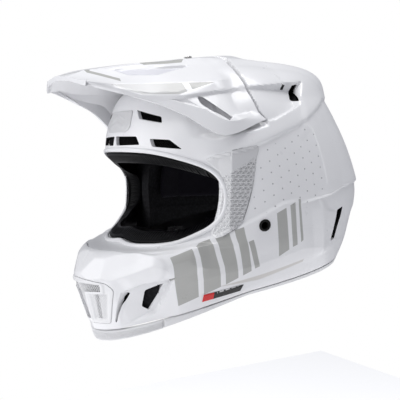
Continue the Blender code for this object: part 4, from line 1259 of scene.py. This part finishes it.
def cavity_pad(name, lat_range, lon_range, rows, columns):
    """A closed pad between two latitudes and two longitudes, in degrees."""
    v, u = unit_grid(rows, columns)
    latitude = np.radians(lat_range[0] + (lat_range[1] - lat_range[0]) * v)
    longitude = np.radians(lon_range[0] + (lon_range[1] - lon_range[0]) * u)
    flat = np.cos(latitude)
    place = np.stack([flat * np.sin(longitude), -flat * np.cos(longitude), np.sin(latitude)], -1)
    outer, inner = (place * (CAVITY_RADII + level * MM) + CAVITY_CENTRE
                    for level in (PAD_LIFT, PAD_LIFT - PAD_THICK))
    made = closed_slab(name, outer, inner, rows, columns)
    edit(made, lambda bm: bmesh.ops.remove_doubles(bm, verts=bm.verts, dist=1e-5))
    return made


def crown_channels(points):
    latitude, longitude = cavity_angles(points)
    spokes = to_lane(longitude, 60) * np.cos(np.radians(latitude)) * 1.6
    return 1.1 * np.maximum(groove(spokes, 4.5) * (1 - ramp(latitude, 76, 80)), groove(latitude - 62, 3.0))


def nape_channels(points):
    latitude, longitude = cavity_angles(points)
    return 1.1 * np.maximum(groove(to_lane(longitude, 40) * 1.6, 5.0), groove(latitude - 14, 3.5))


def brow_channels(points):
    return 0.9 * groove(to_lane(cavity_angles(points)[1], 30) * 1.6, 4.0)


def cheek_channels(points):
    """A seam all round, and one slanted channel inside it."""
    forward, up = -points[:, 1] / MM, points[:, 2] / MM
    rim = np.minimum(np.minimum(forward - 21, 71 - forward), np.minimum(up + 86, -37 - up))
    channel = groove(up + 62 + (forward - 46) * 0.25, 3.0) * ramp(rim, 7, 9)
    return 1.2 * np.maximum(groove(rim - 9, 2.2) * 0.8, channel)


def roll_channels(points):
    return groove(to_lane(longitude_of(points), 18) * 1.9, 4.0)


def liners():
    """The washable liner in its three pads."""
    pads = (cavity_pad("crown_pad", (36, 84), (-180, 180), 14, 110),
            cavity_pad("brow_cushion", (26, 35), (-62, 62), 5, 44),
            cavity_pad("nape_cushion", (-8, 35), (64, 296), 16, 76))
    nodes = (("crown_liner", crown_channels), ("brow_pad", brow_channels), ("nape_liner", nape_channels))
    for piece, (node, channels) in zip(pads, nodes):
        quilt(piece, 0.9, channels, "helmet", node)


def cushion(name, node_name, body, cell, cap, channels):
    """A thick pad in the shape of a frame node."""
    node = frame["nodes"][node_name]
    piece = linked(name, node.data.copy())
    piece.data.materials.clear()
    piece.data.transform(node.matrix_world)
    shrink(piece, 0.8 * MM)
    modify(piece, "REMESH", mode="VOXEL", voxel_size=cell * MM)
    quilt(piece, cap, channels, body, node_name)


def cushions():
    for _, tag in SIDES:
        cushion("cheek_cushion_" + tag, "cheek_pad_" + tag, "cheek_set_" + tag, 3.6, 1.6, cheek_channels)
    cushion("neck_cushion", "neck_roll", "helmet", 4.0, 1.4, roll_channels)


# Corners of a pull tab (out, forward, up): the two low ones, then the two high ones.
TAB_CORNERS = ((69.2, 56, -96), (73.2, 44, -94), (70.2, 56, -88), (74.2, 44, -87.5))


def pull_tabs():
    """Folded red webbing loops under each cheek core."""
    rows, columns = 24, 34
    v, u = unit_grid(rows, columns)
    weights = ((1 - u) * (1 - v), u * (1 - v), (1 - u) * v, u * v)
    place = sum(weight[:, None] * np.array(corner) for weight, corner in zip(weights, TAB_CORNERS))
    weave = 0.1 * np.sin(v * 2 * pi * 5 + np.abs(u - 0.5) * 2 * pi * 4)
    half = np.maximum(0.75 * (1 - 0.8 * (np.abs(2 * u - 1) ** 12)), 0.2) + 0.5 * np.exp(-(v / 0.12) ** 2)
    for side, tag in SIDES:
        outs = [(place[:, 0] + sign * (half + weave)) * side for sign in (1, -1)]
        faces = [np.stack([out, -place[:, 1], place[:, 2]], -1) * MM for out in outs]
        piece = closed_slab("pull_tab_" + tag, *faces, rows, columns)
        smooth(piece, 50)
        stands_for(piece, "cheek_set_" + tag, "tab_red", "release_tab_" + tag)


for build in (cut_shell, visor, eyeport_lip, eyeport_frame, vent_grids, forehead_plate, goggle_panels,
              release_markers, port_rings, mouthpiece, rim_trims, visor_bolt, straps, rings, liners,
              cushions, pull_tabs):
    build()

# ------------------------------------------------------------------ materials
VIEW_AXES = {
    "side": ((0, -1, 0), (0, 0, 1)),
    "top": ((1, 0, 0), (0, -1, 0)),
}
SHELL_CENTRE = (0, 0.01, -0.075)


class Wiring:
    """Short ways to wire the nodes of one material."""

    def __init__(self, name, colour, roughness, metallic=0.0, coat=0.0):
        self.material = bpy.data.materials.new(name)
        self.material.use_nodes = True
        self.tree = self.material.node_tree
        self.shader = self.tree.nodes["Principled BSDF"]
        self.shader.inputs["Base Color"].default_value = (*colour, 1)
        self.shader.inputs["Roughness"].default_value = roughness
        self.shader.inputs["Metallic"].default_value = metallic
        self.shader.inputs["Coat Weight"].default_value = coat
        self.shader.inputs["Coat Roughness"].default_value = 0.06
        coordinates = self.tree.nodes.new("ShaderNodeTexCoord")
        self.place = coordinates.outputs["Object"]
        self.normal = coordinates.outputs["Normal"]

    def node(self, kind, **settings):
        made = self.tree.nodes.new(kind)
        for key, value in settings.items():
            setattr(made, key, value)
        return made

    def put(self, value, socket):
        if isinstance(value, bpy.types.NodeSocket):
            self.tree.links.new(value, socket)
        else:
            socket.default_value = value

    def math(self, operation, a, b=0.0, clamp=False):
        made = self.node("ShaderNodeMath", operation=operation, use_clamp=clamp)
        self.put(a, made.inputs[0])
        self.put(b, made.inputs[1])
        return made.outputs[0]

    def chain(self, operation, values):
        """The operation on the first two values, then on that and the third, and so on."""
        return reduce(lambda a, b: self.math(operation, a, b), values)

    def product(self, *values):
        return self.chain("MULTIPLY", values)

    def total(self, *values):
        return self.chain("ADD", values)

    def minus(self, a, b):
        return self.math("SUBTRACT", a, b)

    def share(self, value, whole):
        """Value over whole, kept between 0 and 1."""
        return self.math("DIVIDE", value, whole, clamp=True)

    def vector(self, operation, a, b):
        made = self.node("ShaderNodeVectorMath", operation=operation)
        self.put(a, made.inputs[0])
        self.put(b, made.inputs[1])
        return made.outputs["Value" if operation == "DOT_PRODUCT" else "Vector"]

    def along(self, direction):
        """Distance along a direction, in millimetres."""
        return self.vector("DOT_PRODUCT", self.place, tuple(v / MM for v in direction))

    def to_lane(self, value):
        """Distance to the nearest whole number."""
        return self.math("ABSOLUTE", self.minus(value, self.math("ROUND", value)))

    def polygon(self, outline, view, soft=0.25, folded=False):
        """1 inside a convex outline in millimetres, 0 outside; folded takes out as unsigned."""
        turn = 1 if doubled_area(outline) > 0 else -1
        first, second = (self.along(axis) for axis in VIEW_AXES[view])
        spot = self.node("ShaderNodeCombineXYZ")
        self.put(self.math("ABSOLUTE", first) if folded else first, spot.inputs[0])
        self.put(second, spot.inputs[1])
        edges = []
        for a, b in zip(outline, closing(outline)[1:]):
            length = ((b[0] - a[0]) ** 2 + (b[1] - a[1]) ** 2) ** 0.5
            n = (-(b[1] - a[1]) / length * turn, (b[0] - a[0]) / length * turn)
            reach = self.vector("DOT_PRODUCT", spot.outputs[0], (*n, 0))
            edges.append(self.minus(reach, n[0] * a[0] + n[1] * a[1]))
        return self.share(self.chain("MINIMUM", edges), soft)

    def facing_in(self):
        """1 where the surface faces the middle of the shell, 0 elsewhere."""
        reach = self.vector("SUBTRACT", self.place, SHELL_CENTRE)
        return self.math("LESS_THAN", self.vector("DOT_PRODUCT", reach, self.normal), -0.03)

    def mapped(self, kind, scale, **mapping_values):
        """A texture on the object's own coordinates, turned or stretched by a mapping."""
        mapping = self.node("ShaderNodeMapping")
        self.put(self.place, mapping.inputs["Vector"])
        for socket, value in mapping_values.items():
            mapping.inputs[socket].default_value = value
        made = self.node(kind)
        self.put(mapping.outputs[0], made.inputs["Vector"])
        made.inputs["Scale"].default_value = scale
        return made

    def noise(self, scale, detail, stretch=(1, 1, 1)):
        made = self.mapped("ShaderNodeTexNoise", scale, Scale=stretch)
        made.inputs["Detail"].default_value = detail
        return made.outputs["Fac"]

    def waves(self, scale, turn):
        return self.mapped("ShaderNodeTexWave", scale, Rotation=turn).outputs["Fac"]

    def cells(self, scale):
        return self.mapped("ShaderNodeTexVoronoi", scale).outputs["Distance"]

    def between(self, factor, low, high):
        """A colour from low to high as the factor goes from 0 to 1."""
        made = self.node("ShaderNodeMix", data_type="RGBA")
        self.put(factor, made.inputs["Factor"])
        for value, socket in ((low, made.inputs[6]), (high, made.inputs[7])):
            self.put(value if isinstance(value, bpy.types.NodeSocket) else (*value, 1), socket)
        return made.outputs[2]

    def mottle(self, colour, scale, low, high):
        """A colour that drifts between a darker and a lighter one."""
        return self.between(self.noise(scale, 4), times(colour, low), times(colour, high))

    def colour(self, value):
        self.put(value, self.shader.inputs["Base Color"])

    def gloss(self, scale, low, high, stretch=(1, 1, 1)):
        """Roughness that drifts from low to high."""
        made = self.node("ShaderNodeMapRange")
        self.put(self.noise(scale, 3, stretch), made.inputs["Value"])
        made.inputs["To Min"].default_value = low
        made.inputs["To Max"].default_value = high
        self.put(made.outputs[0], self.shader.inputs["Roughness"])

    def bump(self, height, depth):
        made = self.node("ShaderNodeBump")
        made.inputs["Distance"].default_value = depth * MM
        made.inputs["Strength"].default_value = 1.0
        self.put(height, made.inputs["Height"])
        self.put(made.outputs[0], self.shader.inputs["Normal"])


def times(colour, factor):
    return tuple(c * factor for c in colour)


def moulded(name, colour, roughness, coat=0.0, grain=0.02):
    """Moulded or painted surface: faint mottling, uneven gloss and a fine grain."""
    w = Wiring(name, colour, roughness, coat=coat)
    w.colour(w.mottle(colour, 38, 0.97, 1.02))
    w.gloss(120, roughness - 0.06, roughness + 0.06)
    w.bump(w.noise(900, 2), grain)
    return w.material


SHELL_COLOUR = (0.80, 0.80, 0.815)
GRAPHIC_COLOUR = (0.41, 0.41, 0.395)
STRIPE_COLOUR = (0.60, 0.58, 0.56)
MARKER_BLACK = (0.012, 0.012, 0.013)
STREAK = (1, 1, 12)
# Plain slanted bars on the jaw, side view, (forward, up).
BARS = (((104, -45), (86, -37), (76, -83), (92, -92)), ((82, -35), (68, -29), (58, -74), (72, -81)),
        ((64, -28), (53, -23), (43, -66), (54, -72)), ((49, -21), (41, -18), (31, -60), (39, -64)),
        ((37, -32), (32, -30), (23, -56), (28, -58)), ((11, -6), (1, -1), (-9, -42), (3, -48)),
        ((-3, 1), (-9, 4), (-19, -38), (-13, -40)), ((-13, 6), (-16, 7), (-26, -34), (-23, -36)))
STRIPE = ((74, -76), (30, -66), (-34, -53), (-33, -57), (20, -70))
PERF_FIELD = ((24, 52), (-24, 76), (-42, 66), (-50, 14), (-30, 2), (36, -8))
DOT_ROW = 9.0
DOT_RUN = 11.0


def perforations(w):
    """Small dots in staggered rows on a slanted grid."""
    turn = radians(24)
    row = w.math("DIVIDE", w.along((0, sin(turn), cos(turn))), DOT_ROW)
    stagger = w.math("FRACT", w.product(w.math("FLOOR", row), 0.5))
    run = w.total(w.math("DIVIDE", w.along((0, -cos(turn), sin(turn))), DOT_RUN), stagger)
    cells = ((row, DOT_ROW), (run, DOT_RUN))
    offs = [w.product(w.minus(w.math("FRACT", cell), 0.5), pitch) for cell, pitch in cells]
    away = w.math("SQRT", w.total(*(w.math("POWER", off, 2.0) for off in offs)))
    return w.product(w.share(w.minus(0.85, away), 0.3), w.polygon(PERF_FIELD, "side", 1.0))


def shell_paint():
    """Gloss white with the jaw bars, a stripe and a field of small dots on both sides; the inner side is
    painted near-black as painted shade inside the helmet.
    """
    w = Wiring("shell_paint", SHELL_COLOUR, 0.3, coat=0.25)
    outward = w.math("GREATER_THAN", w.math("ABSOLUTE", w.along((1, 0, 0))), 52.0)
    bars = w.product(w.chain("MAXIMUM", [w.polygon(bar, "side") for bar in BARS]), outward)
    stripe = w.product(w.polygon(STRIPE, "side", 1.2), outward)
    dots = w.product(perforations(w), outward)
    colour = w.between(stripe, w.mottle(SHELL_COLOUR, 30, 0.985, 1.01), STRIPE_COLOUR)
    colour = w.between(bars, colour, w.mottle(GRAPHIC_COLOUR, 60, 0.94, 1.05))
    colour = w.between(w.product(dots, 0.75), colour, (0.30, 0.30, 0.32))
    # Painted shade: every surface that faces the middle of the shell is painted near-black, as the shade
    # inside the helmet.
    w.colour(w.between(w.facing_in(), colour, (0.015, 0.015, 0.016)))
    w.gloss(90, 0.24, 0.36)
    w.bump(w.minus(w.product(w.noise(700, 2), 0.04), w.product(dots, 0.6)), 0.5)
    return w.material


# Top view, (out, forward), on both sides.
TOP_BARS = (((3, 177), (9, 176), (31, 158), (26, 156)), ((25, 162), (31, 161), (53, 137), (48, 136)),
            ((28, 107), (35, 105), (40, 66), (34, 60)))
# Side view, (forward, up).
SIDE_BAND = ((149, 111), (54, 116), (94, 102.5), (123, 102))
BAND_GAP = ((87, 90), (81, 90), (78, 120), (84, 120))
BAND_TIP = ((84, 90), (50, 90), (50, 120), (81, 120))


def peak_paint():
    """Gloss white with pale bars on top, a hatched band along each side, and painted shade in the recesses
    of the top.
    """
    w = Wiring("peak_paint", SHELL_COLOUR, 0.3, coat=0.25)
    upper = w.node("ShaderNodeSeparateXYZ")
    w.put(w.normal, upper.inputs[0])
    facing_up = w.math("GREATER_THAN", upper.outputs[2], 0.05)
    bars = w.chain("MAXIMUM", [w.polygon(bar, "top", folded=True) for bar in TOP_BARS])
    band = w.product(w.polygon(SIDE_BAND, "side"), w.minus(1.0, w.polygon(BAND_GAP, "side")), facing_up)
    hatch = w.math("GREATER_THAN", w.math("FRACT", w.along((0, 0.38, 0.38))), 0.45)
    hatch = w.product(hatch, w.share(w.minus(w.along((0, -1, 0)), 96), 20))
    # Painted shade: the recesses in the top of the peak are painted a darker lilac grey, as if in shadow.
    painted_recess_shade = w.product(w.polygon(PEAK_RECESS[:4], "top", 1.0, folded=True), facing_up)
    base = w.between(painted_recess_shade, w.mottle(SHELL_COLOUR, 30, 0.985, 1.01), (0.64, 0.64, 0.69))
    band_colour = w.between(hatch, (0.46, 0.46, 0.45), (0.66, 0.66, 0.67))
    band_colour = w.between(w.polygon(BAND_TIP, "side"), band_colour, (0.36, 0.36, 0.345))
    base = w.between(band, base, band_colour)
    w.colour(w.between(w.product(bars, facing_up), base, (0.40, 0.40, 0.38)))
    w.gloss(90, 0.24, 0.38)
    w.bump(w.noise(700, 2), 0.02)
    return w.material


# Side view, (forward, up): the panel without the strip at its edge that is painted dark, as painted shade
# in the gap to the shell.
PANEL_FACE = ((95, 41.04), (30, 58), (26, 54), (33, 19), (42, -16), (63, -30), (95, -30))


def panel_paint():
    """Pale plastic with painted shade: its sunk triangles are darker than the lines between them, it is
    darker behind the fold, and its edge is painted dark as the shade of the gap to the shell.
    """
    w = Wiring("panel_paint", (0.6, 0.6, 0.61), 0.32, coat=0.25)
    lanes = [w.math("DIVIDE", w.along((0, -sin(turn), cos(turn))), LANE) for turn in TRIANGLE_TURNS]
    near = w.product(w.chain("MINIMUM", [w.to_lane(lane) for lane in lanes]), LANE)
    # Painted shade in the sunk triangles of the texture.
    painted_pit_shade = w.share(w.minus(near, 0.3), 0.35)
    low = w.math("LESS_THAN", w.along((0, -0.65, 1)), 65)
    # Painted shade: behind the crest of the fold the lines and the sunk triangles are painted darker, as if
    # turned away from the light.
    rear = w.share(w.minus(53.0, w.along((0, -1, 0))), 1.5)
    ground = w.between(rear, (0.76, 0.76, 0.77), (0.58, 0.58, 0.595))
    deep = w.between(rear, (0.66, 0.66, 0.67), (0.36, 0.36, 0.37))
    face = w.between(w.product(painted_pit_shade, low), ground, deep)
    # Painted shade: outside the face the panel's edge is painted near-black, as the shade in the gap to the
    # shell.
    w.colour(w.between(w.polygon(PANEL_FACE, "side", 0.8), (0.16, 0.16, 0.165), face))
    w.gloss(120, 0.24, 0.42)
    w.bump(w.noise(900, 2), 0.02)
    return w.material


def marker_print():
    """Black strip whose front end is red, with plain pale dashes."""
    w = Wiring("marker_print", MARKER_BLACK, 0.35)
    forward = w.along((0, -1, 0))
    red = w.math("GREATER_THAN", forward, 63.5)
    lane = w.math("ABSOLUTE", w.minus(w.along((0, -0.29, 1)), -61.5))
    dash = w.math("LESS_THAN", lane, 0.75)
    gaps = w.math("LESS_THAN", w.math("FRACT", w.math("DIVIDE", forward, 5.5)), 0.72)
    dashes = w.product(dash, gaps, w.math("LESS_THAN", forward, 61.0))
    w.colour(w.between(dashes, w.between(red, MARKER_BLACK, (0.62, 0.02, 0.02)), (0.7, 0.7, 0.7)))
    w.bump(w.noise(900, 2), 0.02)
    return w.material


def foam(name, colour):
    """Moulded bead foam: rounded cells with dark joints."""
    w = Wiring(name, colour, 0.85)
    w.shader.inputs["Specular IOR Level"].default_value = 0.15
    cell = w.cells(330)
    w.colour(w.between(w.math("MULTIPLY", cell, 1.5, clamp=True), times(colour, 1.25), times(colour, 0.55)))
    w.bump(cell, -0.35)
    return w.material


def fabric(name, colour, fuzz):
    """Knitted cloth: two crossed threads and a soft mottling."""
    w = Wiring(name, colour, 0.95)
    across = w.waves(420, (0, radians(20), radians(45)))
    over = w.waves(420, (radians(90), 0, radians(-45)))
    knit = w.product(across, over)
    tone = w.math("ADD", w.product(knit, 0.7), w.product(w.noise(60, 4), 0.5), clamp=True)
    w.colour(w.between(tone, times(colour, 0.5), times(colour, 1.7)))
    w.shader.inputs["Sheen Weight"].default_value = fuzz
    w.shader.inputs["Specular IOR Level"].default_value = 0.1
    w.bump(w.total(knit, w.product(w.noise(1500, 2), 0.5)), 0.2)
    return w.material


def webbing_cloth(name, colour):
    """Tight flat webbing: chevrons of thread along the band."""
    w = Wiring(name, colour, 0.8)
    across = w.math("ABSOLUTE", w.minus(w.along((0, 1, 0)), STRAP_MIDDLE))
    chevron = w.math("SINE", w.product(w.total(w.along((0.7, 0, 0.7)), across), 4.2))
    tone = w.math("ADD", w.product(chevron, 0.35), w.noise(250, 3), clamp=True)
    w.colour(w.between(tone, times(colour, 0.45), times(colour, 1.9)))
    w.bump(w.total(chevron, w.noise(1600, 2)), 0.12)
    return w.material


def metal(name, colour):
    """Brushed steel: streaked gloss and faint staining."""
    w = Wiring(name, colour, 0.28, metallic=1.0)
    w.colour(w.mottle(colour, 90, 0.86, 1.05))
    w.gloss(350, 0.18, 0.42, STREAK)
    w.bump(w.noise(900, 2, STREAK), 0.02)
    return w.material


def rubber(name, colour, roughness, coat=0.0):
    """Matt rubber or plastic with a leathery grain."""
    w = Wiring(name, colour, roughness, coat=coat)
    w.shader.inputs["Specular IOR Level"].default_value = 0.10
    w.colour(w.mottle(colour, 140, 0.7, 1.4))
    w.gloss(260, roughness - 0.12, roughness + 0.12)
    w.bump(w.noise(1300, 3), 0.06)
    return w.material


BY_SLOT = {
    "shell_white": shell_paint(),
    "visor_white": peak_paint(),
    "mouthpiece_white": moulded("grille_white", (0.78, 0.78, 0.79), 0.35, coat=0.2),
    "mouth_mesh_pale": moulded("grid_white", (0.70, 0.70, 0.71), 0.45),
    "rim_pale": moulded("rim_rubber", (0.72, 0.72, 0.73), 0.5, grain=0.05),
    "trim_black": rubber("trim_rubber", (0.0015, 0.0015, 0.002), 0.42),
    "grommet_black": rubber("grommet_rubber", (0.012, 0.012, 0.012), 0.45),
    "vent_black": rubber("vent_plastic", (0.010, 0.010, 0.011), 0.45),
    "panel_pale": panel_paint(),
    "plate_grey": moulded("plate_plastic", (0.62, 0.62, 0.63), 0.3, coat=0.2),
    "foam_dark": foam("bead_foam", (0.012, 0.012, 0.014)),
    "liner_black": fabric("liner_cloth", (0.008, 0.007, 0.011), fuzz=0.04),
    "damper_blue": rubber("damper_gel", (0.02, 0.09, 0.22), 0.35, coat=0.3),
    "webbing_black": webbing_cloth("strap_cloth", (0.010, 0.010, 0.011)),
    "tab_red": webbing_cloth("tab_cloth", (0.45, 0.015, 0.015)),
    "label_black": marker_print(),
    "steel": metal("bright_steel", (0.62, 0.61, 0.60)),
}
FRAME_NODES = {
    "foam_dark": ("eps_crown", "eps_chin", "cheek_core_left", "cheek_core_right"),
    "damper_blue": ("damper_front", "damper_crown", "damper_left", "damper_right", "damper_rear"),
    "grommet_black": ("visor_bush_left", "visor_bush_right"),
    "steel": ("visor_pin_left", "visor_pin_right", "visor_screw_insert", "strap_anchor_left",
              "strap_anchor_right", "strap_rivet_left", "strap_rivet_right", "strap_snap"),
}


def dress():
    """Every piece and every frame node that still shows takes the material of its slot."""
    slots = {node: slot for slot, nodes in FRAME_NODES.items() for node in nodes}
    for made in bpy.data.objects:
        slot = made.get("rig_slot") or slots.get(made.name)
        if made.type == "MESH" and slot:
            made.data.materials.clear()
            made.data.materials.append(BY_SLOT[slot])


dress()
